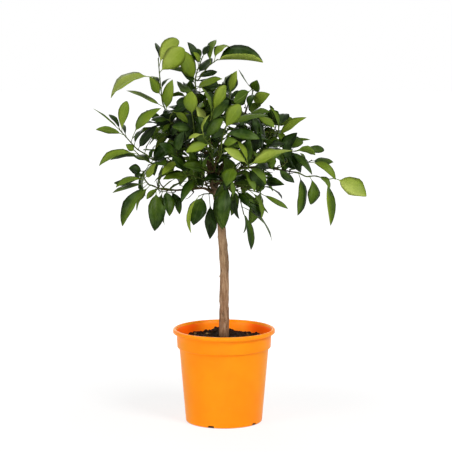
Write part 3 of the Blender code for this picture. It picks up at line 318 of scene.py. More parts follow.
# Leafy shoots of the front and the two sides: name, parent, where on the parent, places, leaves
SHOOTS = (
    ("shoot_upper_left_tip", "limb_upper_left", 1.0,
     ((-11.3, -1.4, 61.6), (-12.0, -1.2, 63.4), (-12.3, -0.9, 66.0), (-12.6, -0.6, 69.3),
      (-12.8, -0.8, 72.0)), (
        leaf(0.14, (-10.0, -3.5, 67.8), 2.5, 25, 0.55, wide=1.05),
        leaf(0.22, (-18.9, 0.0, 66.1), 2.8, 62, 0.5, arch=0.05, wide=0.8, sway=(0.0, -0.3)),
        leaf(0.4, (-14.6, -3.0, 68.3), 2.0, 30, 0.5, sway=(-0.3, 0.0), wide=1.2),
        leaf(0.5, (-10.5, 1.0, 68.2), 1.2, 55, 0.1), leaf(0.58, (-14.1, 1.5, 68.6), 1.2, 50, 0.1),
        leaf(0.68, (-22.1, -3.0, 64.3), 4.2, 58, 0.85, arch=0.2, fold=28, wide=1.6, stalk=0.25,
             sway=(-0.15, 0.0)),
        leaf(0.77, (-7.7, -3.5, 73.8), 3.8, 15, 0.8, blunt=True, fold=20, wide=1.15),
        leaf(0.87, (-8.9, 0.5, 75.5), 3.2, 30, 0.8, arch=0.24, blunt=True, wide=1.05),
        leaf(0.97, (-13.1, 2.0, 74.8), 1.2, 50, 0.15, wide=1.8, blunt=True))),
    ("shoot_left_long", "limb_left", 1.0,
     ((-15.2, -3.4, 53.1), (-17.0, -3.2, 54.2), (-18.3, -3.0, 55.6), (-19.2, -2.8, 56.6),
      (-20.6, -2.5, 58.2)), (
        leaf(0.38, (-12.5, -6.0, 59.3), 2.7, 25, 0.08, wide=0.85, sway=(-0.2, -0.2, -0.4, -0.3)),
        leaf(0.5, (-15.9, 1.0, 58.2), 1.3, 40, 0.1),
        leaf(0.6, (-12.6, -5.0, 62.3), 2.5, 35, 0.55, arch=0.18, stalk=0.33, fold=26, wide=1.25),
        leaf(0.76, (-19.9, 1.5, 59.3), 1.1, 40, 0.1, sway=(-0.3, 0.0)),
        leaf(0.83, (-25.0, -2.0, 58.3), 2.2, 118, 0.4, roll=-10, sway=(0.0, -0.3)),
        leaf(0.9, (-19.0, -4.0, 63.6), 2.5, 25, 0.6, blunt=True, wide=0.88),
        leaf(0.96, (-22.6, 1.0, 60.9), 1.3, 50, 0.2),
        leaf(1.0, (-25.3, -3.0, 62.5), 2.4, 74, 0.4, wide=0.5, sway=(-0.1, -0.8)))),
    ("shoot_left_low", "limb_left", 0.82,
     ((-12.6, -4.6, 51.4), (-14.3, -5.2, 51.5), (-15.3, -5.4, 52.0), (-16.3, -5.4, 52.7),
      (-17.6, -5.2, 54.0)), (
        leaf(0.42, (-9.4, -7.5, 55.5), 3.0, 20, 0.1), leaf(0.7, (-22.3, -4.0, 52.2), 2.4, 70, 0.25),
        leaf(0.86, (-24.5, -6.5, 51.0), 2.5, 60, 0.5, arch=0.22, fold=34, wide=1.05, sway=(0.0, -0.3)),
        leaf(0.97, (-19.2, -6.5, 55.1), 1.4, 20, 0.4))),
    ("shoot_left_inner", "limb_left", 0.4,
     ((-8.4, -4.8, 52.0), (-8.9, -6.2, 52.6), (-9.4, -7.4, 53.6)), (
        leaf(0.5, (-12.2, -8.5, 49.2), 2.1, 48, 0.65), leaf(0.75, (-12.6, -9.0, 55.4), 2.4, 40, 0.2),
        leaf(1.0, (-7.8, -9.5, 57.7), 2.4, 30, 0.15))),
    ("shoot_low_left_hanging", "limb_low_left", 0.7,
     ((-10.6, -5.8, 46.3), (-12.2, -6.8, 46.5), (-13.6, -7.4, 46.3)), (
        leaf(0.3, (-8.8, -7.5, 41.3), 2.2, 40, 0.15),
        leaf(0.5, (-10.7, -9.0, 41.0), 2.4, 30, 0.23, wide=1.15, sway=(-0.3, 0.0)),
        leaf(0.64, (-11.9, -6.0, 39.1), 2.2, -50, 0.13, wide=1.3),
        leaf(0.82, (-15.2, -6.4, 44.3), 1.5, 140, 0.4),
        leaf(0.98, (-13.6, -9.6, 38.1), 3.4, 10, 0.18, wide=1.12))),
    ("shoot_low_left_tip", "limb_low_left", 1.0,
     ((-14.7, -4.7, 47.2), (-15.4, -4.8, 48.0), (-15.8, -4.7, 49.0), (-15.9, -4.6, 50.0)), (
        leaf(0.18, (-17.4, -4.0, 42.2), 2.2, 120, 0.4, wide=1.3, sway=(0.2, 0.0)),
        leaf(0.3, (-20.3, -6.6, 39.2), 2.9, 40, 0.2, arch=0.18, wide=1.05, fold=24, halves=-0.12,
             sway=(0.3, -0.3)), leaf(0.42, (-22.0, -3.6, 45.7), 2.4, 72, 0.4, sway=(0.0, -0.9), wide=1.2),
        leaf(0.52, (-21.3, -6.4, 46.9), 1.9, 62, 0.5, arch=0.25, sway=(0.0, -0.4)),
        leaf(0.62, (-13.2, -6.5, 51.3), 2.0, 45, 0.7, wide=1.3, sway=(0.25, -0.3)),
        leaf(0.74, (-21.7, -3.0, 47.6), 2.0, 55, 0.15, sway=(0.0, -1.1)),
        leaf(0.86, (-17.5, -3.4, 48.8), 1.3, 40, 0.1),
        leaf(1.0, (-18.7, -5.4, 50.4), 1.8, 30, 0.1, wide=1.3))),
    ("shoot_low_left_inner", "trunk", 0.872,
     ((-3.6, -2.6, 48.1), (-5.0, -4.6, 48.6), (-6.4, -6.2, 49.0), (-7.4, -7.2, 49.7)), (
        leaf(0.62, (-8.4, -9.0, 43.9), 2.4, 30, 0.2), leaf(0.76, (-6.7, -9.5, 54.3), 2.2, 35, 0.25),
        leaf(0.86, (-12.2, -7.4, 48.4), 2.2, 52, 0.4, wide=1.5, sway=(0.1, -0.35, 0.2, -0.2)),
        leaf(0.96, (-10.3, -8.8, 53.2), 2.1, 40, 0.14, sway=(0.0, -0.2)))),
    ("shoot_upper_left_side", "limb_upper_left", 0.86,
     ((-10.0, -3.2, 59.2), (-10.6, -4.2, 59.8), (-10.4, -5.0, 60.8), (-9.8, -5.6, 61.7)), (
        leaf(0.35, (-12.1, -4.4, 57.6), 1.2, 45, 0.4), leaf(0.55, (-14.3, -4.8, 59.9), 2.0, 50, 0.15),
        leaf(0.78, (-6.8, -3.8, 63.0), 2.4, 30, 0.1), leaf(0.98, (-7.1, -7.0, 59.3), 1.9, 50, 0.5))),
    ("shoot_front_left", "limb_front", 1.0,
     ((-2.0, -11.6, 54.4), (-3.2, -12.0, 55.6), (-3.9, -12.3, 56.5), (-4.1, -12.5, 57.3)), (
        leaf(0.55, (-7.4, -14.0, 53.8), 2.1, 35, 0.6),
        leaf(0.68, (-0.9, -9.5, 57.8), 2.4, 30, 0.15, sway=(0.7, 0.2, 1.4, 0.3)),
        leaf(0.8, (-0.2, -14.0, 60.2), 2.3, 35, 0.2, wide=1.2),
        leaf(0.9, (-3.0, -13.4, 60.9), 1.5, 66, 0.75, arch=0.15),
        leaf(1.0, (-6.9, -13.0, 56.3), 1.3, 60, 0.8))),
    ("shoot_front_rise", "limb_front", 0.72,
     ((-2.2, -9.2, 53.2), (-2.8, -10.0, 56.6), (-2.7, -10.2, 59.4), (-2.2, -10.2, 61.2),
      (-2.0, -10.2, 62.4)), (
        leaf(0.55, (-5.0, -11.0, 60.6), 2.4, 25, 0.15), leaf(0.74, (0.9, -8.4, 63.9), 2.6, 25, 0.15),
        leaf(0.85, (-4.5, -11.6, 66.3), 2.0, 62, 0.5),
        leaf(0.93, (0.4, -12.4, 66.7), 2.9, 22, 0.65, blunt=True),
        leaf(1.0, (-3.2, -8.0, 65.4), 2.2, 25, 0.05))),
    ("shoot_left_rise", "limb_upper_left", 0.28,
     ((-5.8, -3.0, 55.6), (-5.8, -6.0, 57.6), (-6.0, -8.0, 59.6), (-6.2, -9.0, 61.2), (-6.0, -9.4, 63.4)), (
        leaf(0.4, (-3.0, -8.0, 59.6), 2.4, 30, 0.12), leaf(0.55, (-10.2, -9.0, 58.6), 2.6, 30, 0.1),
        leaf(0.82, (-6.4, -12.0, 65.3), 3.2, 15, 0.6, blunt=True),
        leaf(0.9, (-9.2, -7.5, 63.6), 2.2, 35, 0.1, wide=1.3),
        leaf(1.0, (-4.0, -13.0, 60.1), 2.3, 20, 0.9, blunt=True))),
    ("shoot_top", "limb_centre", 1.0,
     ((-5.5, 2.2, 66.0), (-5.6, 1.8, 67.6), (-5.3, 1.5, 69.2), (-4.8, 1.3, 70.6), (-4.1, 1.3, 72.4)), (
        leaf(0.1, (-9.2, 3.2, 67.5), 2.0, 50, 0.3, sway=(-0.5, -0.9), wide=1.35),
        leaf(0.17, (-0.6, -1.8, 68.1), 2.2, 48, 0.6, wide=1.2, sway=(0.0, -0.15)),
        leaf(0.24, (-1.0, 2.4, 67.3), 2.0, 30, 0.08, wide=1.3, sway=(0.1, -0.5, 0.1, -0.5)),
        leaf(0.31, (-8.3, -0.2, 69.3), 2.0, 35, 0.1),
        leaf(0.39, (-8.2, -2.4, 73.5), 3.3, 28, 0.62, wide=1.1, sway=(-0.3, -0.1)),
        leaf(0.47, (-1.3, 3.0, 69.9), 1.9, 35, 0.1, sway=(0.0, -0.5, 0.0, -0.6)),
        leaf(0.56, (-2.4, 3.6, 72.2), 1.9, 45, 0.1, wide=1.5, sway=(0.4, -0.5, 0.1, -0.2)),
        leaf(0.65, (-10.4, -0.8, 70.3), 1.9, 55, 0.3, sway=(0.0, -0.5, 0.0, -0.4)),
        leaf(0.74, (-6.9, 0.4, 75.1), 2.0, 42, 0.15), leaf(0.82, (-5.9, -1.6, 73.1), 1.5, 45, 0.6),
        leaf(0.91, (-5.8, 2.8, 73.8), 1.7, 35, 0.1), leaf(1.0, (-2.9, 1.6, 74.5), 1.7, 38, 0.1))),
    ("shoot_top_right", "shoot_top", 0.4,
     ((-4.2, 0.8, 68.9), (-3.5, 0.5, 69.8), (-2.9, 0.3, 70.5), (-2.0, 0.1, 71.2), (-1.1, 0.0, 71.8)), (
        leaf(0.72, (-1.8, 3.0, 75.6), 2.0, 40, 0.45, blunt=True, wide=1.25),
        leaf(0.85, (1.3, 1.6, 74.1), 2.2, 60, 0.6, arch=0.2, wide=1.4, sway=(-0.1, 0.5)),
        # this leaf's underside tone of 0.9 is painted light: a pale strip that stands in for light thrown up
        # from the white floor
        leaf(1.0, (7.6, -1.0, 71.4), 5.6, 67, 0.2, arch=0.05, fold=52, below=0.9, ripple=0.01, wide=1.6,
             sway=(-0.2, -0.2), stalk=0.05))),
    ("shoot_upper_right_tip", "limb_upper_right", 1.0,
     ((5.4, 1.6, 64.6), (5.6, 1.2, 65.5), (5.3, 0.8, 66.4)), (
        leaf(0.35, (9.0, -2.0, 65.0), 2.4, 15, 0.6, sway=(0.0, -0.7), wide=1.15),
        leaf(0.55, (5.1, -2.6, 62.3), 1.9, 20, 0.2),
        leaf(0.7, (6.4, -0.8, 67.7), 2.1, 20, 0.25, wide=1.3, sway=(0.4, -0.1)),
        leaf(0.86, (1.9, -2.6, 63.4), 2.5, 145, 0.3, wide=1.3, sway=(0.3, -0.4)),
        leaf(1.0, (3.2, 1.2, 69.9), 1.8, 76, 0.2, wide=0.5, sway=(-0.9, 0.0, -0.1)))),
    ("shoot_upper_right_inner", "limb_upper_right", 0.66,
     ((2.2, 1.0, 60.6), (1.4, -0.5, 62.8), (1.1, -1.0, 64.2), (1.2, -1.2, 65.4)), (
        leaf(0.5, (-1.6, -2.4, 64.6), 2.4, 35, 0.05), leaf(0.8, (2.8, -1.0, 65.7), 1.0, 35, 0.05),
        leaf(0.9, (1.9, 0.8, 68.9), 2.7, 10, 0.08), leaf(1.0, (2.5, -3.2, 69.5), 2.0, 35, 0.6))),
    ("shoot_front_right", "limb_front", 0.9,
     ((-0.5, -12.2, 53.4), (-0.4, -12.7, 55.6), (0.1, -13.0, 58.0), (0.5, -13.1, 58.9)), (
        leaf(0.32, (2.3, -13.2, 55.1), 1.4, 40, 0.4), leaf(0.56, (2.6, -14.2, 55.9), 2.0, 28, 0.4),
        leaf(0.8, (7.0, -14.2, 56.3), 2.6, 42, 0.25),
        leaf(0.91, (3.2, -15.6, 62.9), 3.0, 15, 0.6, blunt=True),
        leaf(1.0, (8.7, -12.6, 60.8), 2.5, 58, 0.35))),
    ("shoot_right_upper", "limb_upper_right", 0.8,
     ((4.5, 0.4, 60.7), (5.0, -1.2, 61.2), (5.8, -2.8, 60.8), (6.5, -3.8, 60.4)), (
        leaf(0.45, (8.9, -3.6, 61.6), 1.9, 45, 0.45), leaf(0.7, (3.3, -6.0, 59.0), 2.4, 30, 0.05),
        leaf(0.85, (6.6, -7.0, 57.2), 2.4, 30, 0.1), leaf(1.0, (9.9, -6.4, 58.6), 2.0, 48, 0.5))),
    ("shoot_right_crest", "limb_right_middle", 1.0,
     ((10.4, -0.8, 57.2), (10.7, -1.0, 58.0), (10.8, -1.0, 58.9)), (
        leaf(0.2, (16.0, -3.2, 60.5), 2.3, 42, 0.6, wide=1.15, sway=(0.1, -0.25)),
        leaf(0.45, (12.2, -2.6, 55.6), 1.6, 30, 0.45), leaf(0.72, (9.1, -2.4, 62.5), 1.9, 52, 0.4, wide=0.7),
        leaf(1.0, (11.9, 1.6, 61.6), 2.7, 12, 0.12, blunt=True, sway=(0.0, -0.2, 0.0, -0.3)))),
    ("shoot_right_crest_low", "limb_right_middle", 0.8,
     ((9.6, -1.8, 55.4), (11.0, -3.2, 54.8), (12.4, -4.2, 54.1), (13.8, -4.7, 53.8), (15.0, -4.8, 54.2)), (
        leaf(0.3, (15.5, -2.4, 55.6), 2.6, 20, 0.15, blunt=True),
        leaf(0.45, (14.3, -1.0, 57.5), 2.8, 28, 0.12, sway=(-0.1, -0.8, 0.0, -0.3)),
        leaf(0.6, (15.1, -5.4, 49.6), 2.6, 30, 0.02), leaf(0.75, (17.4, -7.4, 49.3), 2.3, 42, 0.15),
        leaf(0.88, (18.0, -6.0, 53.2), 1.9, 132, 0.4, sway=(0.0, 0.1), wide=1.3),
        leaf(1.0, (19.7, -3.4, 54.2), 1.8, 30, 0.2, blunt=True, sway=(0.0, -0.2, 0.0, -0.1)))),
    ("shoot_right_tip_upper", "limb_right", 0.93,
     ((14.3, -1.8, 50.4), (15.5, -1.6, 51.1), (16.7, -1.5, 51.7), (17.3, -1.5, 52.1)), (
        leaf(0.72, (15.0, -3.2, 53.4), 1.3, 55, 0.45),
        leaf(0.86, (21.9, -4.2, 48.3), 2.5, 35, 0.5, arch=0.2, wide=0.85, fold=30, sway=(0.5, 0.0)),
        leaf(1.0, (21.5, -2.4, 51.6), 1.9, 48, 0.2, wide=1.4, sway=(-0.1, -0.3)))),
    ("shoot_right_long", "limb_right", 1.0,
     ((15.5, -2.9, 49.1), (16.3, -2.8, 48.8), (18.0, -2.6, 48.9), (20.2, -2.4, 48.3), (22.0, -2.3, 48.5)), (
        leaf(0.04, (14.6, -5.0, 41.1), 2.3, 48, 0.25, arch=0.2, wide=1.25, sway=(-0.4, 0.0), halves=0.14),
        leaf(0.34, (17.2, -4.8, 43.3), 2.4, 22, 0.33, blunt=True, wide=1.2, sway=(0.6, 0.0)),
        leaf(0.52, (20.9, -4.4, 46.6), 1.8, 60, 0.45, arch=0.25, sway=(-0.2, -0.3)),
        leaf(0.8, (21.2, -3.6, 39.1), 2.6, 30, 0.55, fold=42, twist=8, wide=1.1, sway=(-0.7, 0.0),
             halves=0.24),
        leaf(1.0, (28.0, -4.6, 44.9), 3.5, 12, 0.92, halves=0.14, fold=26, wide=1.3, twist=20, roll=10,
             sway=(0.3, 0.1)))),
    ("shoot_right_front", "limb_right", 0.27,
     ((2.6, -6.0, 50.2), (3.6, -9.0, 50.4), (4.4, -11.0, 50.4), (4.8, -12.0, 50.8), (4.6, -12.7, 51.6)), (
        leaf(0.7, (6.1, -13.2, 45.9), 2.4, 32, 0.35, wide=0.8),
        leaf(0.76, (8.2, -13.4, 47.2), 2.2, 60, 0.35, arch=0.25),
        leaf(0.82, (8.0, -10.4, 47.6), 2.9, 20, 0.17), leaf(0.87, (4.9, -11.0, 56.3), 2.4, 20, 0.14),
        leaf(0.91, (11.4, -10.6, 53.6), 2.3, 28, 0.35),
        leaf(0.94, (13.4, -14.6, 54.0), 3.1, 25, 0.82, arch=0.14, fold=20, twist=64),
        leaf(0.97, (0.1, -14.4, 54.3), 2.2, 38, 0.8),
        leaf(1.0, (2.5, -13.4, 55.9), 1.9, 48, 0.65, wide=0.75))),
    ("shoot_right_under", "limb_right", 0.52,
     ((7.2, -4.4, 49.3), (7.8, -5.0, 48.1), (8.3, -5.4, 47.1)), (
        leaf(0.55, (10.6, -2.4, 47.2), 1.4, 40, 0.15), leaf(0.78, (9.6, -6.4, 45.8), 1.0, 68, 0.3),
        leaf(0.9, (11.8, -6.8, 47.3), 1.9, 25, 0.12, sway=(-0.3, 0.6, -0.1, 1.1)),
        leaf(1.0, (7.0, -6.2, 45.7), 1.0, 40, 0.25))),
    ("shoot_right_middle", "limb_right", 0.73,
     ((10.9, -4.6, 50.6), (11.8, -5.2, 51.2), (12.6, -5.6, 52.0)), (
        leaf(0.35, (13.9, -5.6, 47.7), 2.0, 42, 0.15, sway=(-0.3, -0.3)),
        leaf(0.58, (15.0, -4.2, 50.8), 1.6, 30, 0.03), leaf(0.8, (9.6, -6.8, 53.6), 2.2, 35, 0.2),
        leaf(1.0, (12.2, -7.4, 55.9), 2.1, 30, 0.15))),
    ("shoot_low_right_tip", "limb_low_right", 1.0,
     ((4.5, -4.2, 46.3), (5.6, -4.5, 46.0), (6.6, -4.6, 45.7), (7.4, -4.7, 45.4)), (
        leaf(0.45, (6.9, -6.4, 40.4), 2.2, 55, 0.5, wide=0.75, sway=(0.6, 0.2, 0.5, 0.0)),
        leaf(1.0, (12.7, -6.0, 42.6), 2.4, 56, 0.45, wide=0.6, sway=(-0.1, -0.4)))),
    ("shoot_low_right_hanging", "limb_low_right", 0.66,
     ((2.5, -4.6, 46.0), (3.1, -5.2, 44.8), (3.4, -5.4, 43.4), (3.7, -5.5, 42.2), (3.9, -5.5, 41.3)), (
        leaf(0.22, (3.0, -5.0, 40.4), 1.8, -48, 0.1, wide=1.2, sway=(0.3, 0.0)),
        leaf(0.34, (5.0, -7.0, 42.7), 2.2, 20, 0.17, wide=0.8),
        leaf(0.52, (8.9, -4.2, 41.6), 1.6, 66, 0.3, wide=0.6),
        leaf(0.66, (7.2, -6.2, 40.6), 2.0, 32, 0.15, sway=(0.5, 0.2, 0.2, 0.0)),
        leaf(0.8, (9.6, -6.0, 36.0), 2.2, 72, 0.2, wide=0.8, sway=(0.3, 0.1, 0.1)),
        leaf(0.92, (3.9, -4.4, 37.6), 1.3, 65, 0.15, wide=1.5),
        leaf(1.0, (5.3, -6.2, 34.2), 2.3, 48, 0.15))),
    ("shoot_front_low", "trunk", 0.775,
     ((-2.2, -2.4, 45.3), (-3.1, -5.2, 45.4), (-4.1, -8.0, 45.3), (-5.0, -9.6, 44.9)), (
        leaf(0.48, (-2.6, -8.0, 36.5), 2.8, 32, 0.15, stalk=0.32, sway=(-0.3, 0.0)),
        leaf(0.8, (-6.0, -11.6, 39.2), 3.3, 12, 0.2, halves=0.05, wide=1.12, sway=(-0.1, -0.1)),
        leaf(1.0, (-6.6, -12.0, 37.6), 1.6, 58, 0.65, arch=0.15, wide=0.85, sway=(-0.2, 0.0)))),
    ("shoot_front_middle", "limb_front", 0.25,
     ((-1.2, -4.8, 47.9), (-0.3, -7.2, 47.7), (0.6, -9.2, 47.9), (1.4, -10.6, 48.8), (2.0, -11.6, 51.0)), (
        leaf(0.3, (-0.2, -7.6, 38.2), 2.5, -40, 0.17), leaf(0.42, (-1.7, -9.6, 44.9), 1.9, -42, 0.3),
        leaf(0.52, (-0.9, -9.0, 52.9), 2.3, 25, 0.25, wide=1.4, sway=(0.8, 0.0, 0.9, -0.3)),
        leaf(0.62, (-0.1, -11.6, 38.7), 3.2, 22, 0.2, fold=27, wide=1.1, sway=(0.1, 0.0)),
        leaf(0.72, (1.7, -11.4, 44.8), 1.6, 38, 0.45), leaf(0.82, (0.2, -12.4, 46.0), 2.0, 25, 0.17),
        leaf(1.0, (0.5, -14.0, 47.0), 3.2, 12, 0.32))),
)

# Shoots of the back and the inside: name, parent, where on the parent, end of the twig, leaves.
# Their leaves follow a rule: each stands 137.5 degrees round the twig from the one before.
RULED_SHOOTS = (
    ("shoot_back_left_tip", "limb_back_left", 1.0, (-12.8, 13.5, 58.5), 9),
    ("shoot_back_left_side", "limb_back_left", 0.60, (-15.0, 8.5, 51.0), 8),
    ("shoot_back_left_inner", "limb_back_left", 0.80, (-5.0, 16.0, 60.5), 8),
    ("shoot_back_right_tip", "limb_back_right", 1.0, (11.8, 13.0, 53.5), 8),
    ("shoot_back_right_rise", "limb_back_right", 0.80, (5.2, 13.0, 61.0), 9),
    ("shoot_back_right_low", "limb_back_right", 0.55, (7.5, 10.5, 46.2), 7),
    ("shoot_back_low_tip", "limb_back_low", 1.0, (-6.0, 17.5, 51.0), 7),
    ("shoot_back_low_side", "limb_back_low", 0.70, (2.8, 13.5, 46.0), 7),
    ("shoot_back_upper_tip", "limb_back_upper", 1.0, (-0.6, 12.0, 66.0), 7),
    ("shoot_back_upper_side", "limb_back_upper", 0.55, (-7.5, 10.5, 64.5), 9),
    ("shoot_inner_left", "limb_upper_left", 0.55, (-10.5, 4.5, 57.5), 9),
    ("shoot_inner_right", "limb_right_middle", 0.45, (8.8, 5.0, 59.0), 9),
    ("shoot_inner_centre", "limb_centre", 0.55, (-7.8, -1.8, 62.0), 10),
    ("shoot_inner_front", "limb_front", 0.50, (0.6, -6.5, 59.0), 10),
    ("shoot_inner_right_front", "limb_right", 0.42, (8.5, -6.0, 54.5), 9),
    ("shoot_inner_low", "limb_low_left", 0.30, (-8.6, -1.5, 49.8), 8),
)
GOLDEN_TURN = math.radians(137.5)
RULED_LENGTH = 0.066        # of the longest leaves
RULED_SHORTER = 0.15        # the shortest lack twice this share of it
RULED_LENGTH_TURN = 2.3     # turn of the wave that the lengths follow from leaf to leaf
RULED_WIDTH = 2.9
RULED_ARCH = 0.12
RULED_FIRST = 0.30          # the first leaf's place along the twig
RULED_SPREAD = math.radians(58.0)   # angle between a leaf and its twig
RULED_DROOP = 0.012
RULED_TWIG_RISE = 0.008     # rise of the twig's middle over the straight line to its end
RULED_TONES = (0.04, 0.36, 2.1)     # the darkest leaf, what the palest has more, and the turn of the wave
FILLER_TONES = (0.0, 0.22, 1.7)     # that the tones follow from leaf to leaf
TWIG_PULL = 0.6             # how far upper sides look along the twig, where the sky counts as 1
ROLL_STEP = 15

# Small changes that a leaf may take to lie clear of the others: roll in degrees, then the shift of
# its tip in centimetres, towards the front and up
SHIFTS = tuple((roll, front, up)
               for front, up in ((0.0, 0.0), (0.8, 0.0), (-0.8, 0.0), (1.6, -0.5), (-1.6, -0.5),
                                 (2.6, 0.4), (-2.6, 0.4), (3.8, -0.8), (-3.8, -0.8))
               for roll in (0.0, 12.0, -12.0, 24.0, -24.0))


# ---------------------------------------------------------------- routes and places

TINY = 1e-9


def evenly(first, last, count):
    """That many values, spread evenly from first to last."""
    return [first + (last - first) * index / (count - 1) for index in range(count)]


class Route:
    """Smooth centre line through its points, read by the share of its length."""

    STEPS = 10

    def __init__(self, points, radii):
        ends = [points[0] * 2 - points[1]] + list(points) + [points[-1] * 2 - points[-2]]
        self.radii = radii
        self.line = []
        for index in range(1, len(ends) - 2):
            before, start, end, after = ends[index - 1:index + 3]
            self.line += [self.bend(before, start, end, after, step / self.STEPS)
                          for step in range(self.STEPS)]
        self.line.append(points[-1])
        self.run = [0.0]
        for start, end in zip(self.line, self.line[1:]):
            self.run.append(self.run[-1] + (end - start).length)
        self.length = self.run[-1]

    @staticmethod
    def bend(before, start, end, after, t):
        """Catmull-Rom curve between start and end."""
        return 0.5 * (2 * start + (end - before) * t + (2 * before - 5 * start + 4 * end - after) * t * t
                      + (3 * start - before - 3 * end + after) * t ** 3)

    def at(self, share):
        """Point and direction at this share of the length."""
        goal = min(max(share, 0.0), 1.0) * self.length
        index = 0
        while index < len(self.run) - 2 and self.run[index + 1] < goal:
            index += 1
        start, end = self.line[index], self.line[index + 1]
        part = (goal - self.run[index]) / max(self.run[index + 1] - self.run[index], TINY)
        return start.lerp(end, min(part, 1.0)), (end - start).normalized()

    def radius(self, share):
        """Radius at this share of the length, between evenly spread radii."""
        place = min(max(share, 0.0), 1.0) * (len(self.radii) - 1)
        index = min(int(place), len(self.radii) - 2)
        return self.radii[index] + (self.radii[index + 1] - self.radii[index]) * (place - index)


def grown_from(parent, share, points, radii):
    """Route of a branch that starts square to its parent's surface, a gap away from it."""
    foot, along = parent.at(share)
    if share >= 1.0:
        out = along
        start = foot + out * BRANCH_GAP
    else:
        towards = points[0] - foot
        out = (towards - along * towards.dot(along)).normalized()
        start = foot + out * (parent.radius(share) + BRANCH_GAP)
    return Route([start, start + out * SPUR / 2, start + out * SPUR] + list(points), radii)


def rings(route, shares, sides, radius_of):
    """Rings of points round the route, each carried on from the last without a twist."""
    made = []
    side = None
    for share in shares:
        centre, along = route.at(share)
        if side is None:
            side = along.orthogonal().normalized()
        side = (side - along * side.dot(along)).normalized()
        up = along.cross(side)
        radius = radius_of(share)
        made.append([centre + radius * (math.cos(math.tau * k / sides) * side
                                        + math.sin(math.tau * k / sides) * up) for k in range(sides)])
    return made


class LeafShape:
    """Rings of four points (edge, upper side, edge, underside) from the petiole to the tip."""

    def __init__(self, base, tip, width, turn, arch, fold=FOLD):
        self.base = base
        self.tip = tip
        self.width = width
        self.fold = math.radians(fold)
        chord = tip - base
        self.length = chord.length
        along = chord.normalized()
        front = Vector((0.0, -1.0, 0.0))
        if abs(along.dot(front)) > ALMOST_PARALLEL:
            front = Vector((0.0, 0.0, 1.0))
        facing = (front - along * front.dot(along)).normalized()
        beside = facing.cross(along)
        if beside.z < -LEVEL:
            beside = -beside
        angle = math.radians(turn)
        self.upper = facing * math.cos(angle) + beside * math.sin(angle)
        self.side = self.upper.cross(along)
        self.control = base.lerp(tip, 0.5) + self.upper * (2 * arch * self.length)

    def centre(self, t):
        """Point of the leaf's middle line, from 0 at its base to 1 at its tip."""
        return (self.base * (1 - t) ** 2 + self.control * (2 * t * (1 - t)) + self.tip * t ** 2)

    def ring(self, t, half_width, half_thickness):
        along = ((self.control - self.base) * (1 - t) + (self.tip - self.control) * t).normalized()
        up = along.cross(self.side)
        reach = self.side * (math.cos(self.fold) * half_width)
        rise = up * (math.sin(self.fold) * half_width)
        centre = self.centre(t)
        return [centre + reach + rise, centre + up * half_thickness,
                centre - reach + rise, centre - up * half_thickness]

    def rings(self, extra=0.0):
        made = [self.ring(PETIOLE, PETIOLE_RADIUS + extra, PETIOLE_RADIUS + extra)]
        for t, share in BLADE_STATIONS:
            made.append(self.ring(t, self.width / 2 * share + extra, BLADE_HALF_THICKNESS + extra))
        return made

    def tree(self):
        """Search tree of the blade and the petiole, a little larger than the leaf itself."""
        loops = [self.ring(PETIOLE / 3, PETIOLE_RADIUS + CLEARANCE, PETIOLE_RADIUS + CLEARANCE)]
        loops += self.rings(CLEARANCE)
        return strip_tree(loops, self.tip + (self.tip - self.control).normalized() * CLEARANCE)


def strip_tree(loops, point=None):
    """Search tree of a skin through loops of points, closed in a point if one is given."""
    verts = [vertex for loop in loops for vertex in loop]
    count = len(loops[0])
    faces = []
    for row in range(len(loops) - 1):
        for k in range(count):
            a, b = row * count + k, row * count + (k + 1) % count
            faces += [(a, b, b + count), (a, b + count, a + count)]
    if point is not None:
        verts.append(point)
        last = (len(loops) - 1) * count
        faces += [(last + k, last + (k + 1) % count, len(verts) - 1) for k in range(count)]
    low = [min(vertex[axis] for vertex in verts) for axis in range(3)]
    high = [max(vertex[axis] for vertex in verts) for axis in range(3)]
    return {"tree": BVHTree.FromPolygons(verts, faces), "low": low, "high": high}


def clear_of(candidate, others):
    """Whether a search tree touches none of the others."""
    for other in others:
        apart = any(candidate["low"][axis] > other["high"][axis]
                    or candidate["high"][axis] < other["low"][axis] for axis in range(3))
        if not apart and candidate["tree"].overlap(other["tree"]):
            return False
    return True


def node_places(route, leaves):
    """Shares of the twig's length at which its leaves stand, kept apart and off both ends."""
    first, last = 2 * SPUR / 3 + NODE_HALF, route.length - 2 * NODE_HALF
    places = [min(max(each["at"] * route.length, first), last) for each in leaves]
    for index in range(1, len(places)):
        places[index] = max(places[index], places[index - 1] + NODE_SPACING)
    limit = last
    for index in reversed(range(len(places))):
        places[index] = min(places[index], limit)
        limit = places[index] - NODE_SPACING
    return [place / route.length for place in places]


def settle(base, spec, others):
    """The leaf's shape in the first small shift that lies clear, or None where none does."""
    for roll, front, up in SHIFTS:
        tip = spec["tip"] + Vector((0.0, -front * CM, up * CM))
        shape = LeafShape(base, tip, spec["width"] * CM, spec["turn"] + roll, spec["arch"],
                          spec.get("fold", FOLD))
        if clear_of(shape.tree(), others):
            return shape
    return None


def turned_out(route, share, angle):
    """A point of a route, its direction there, and the one square to it at this angle round it."""
    foot, along = route.at(share)
    side = along.orthogonal().normalized()
    return foot, along, side * math.cos(angle) + along.cross(side) * math.sin(angle)


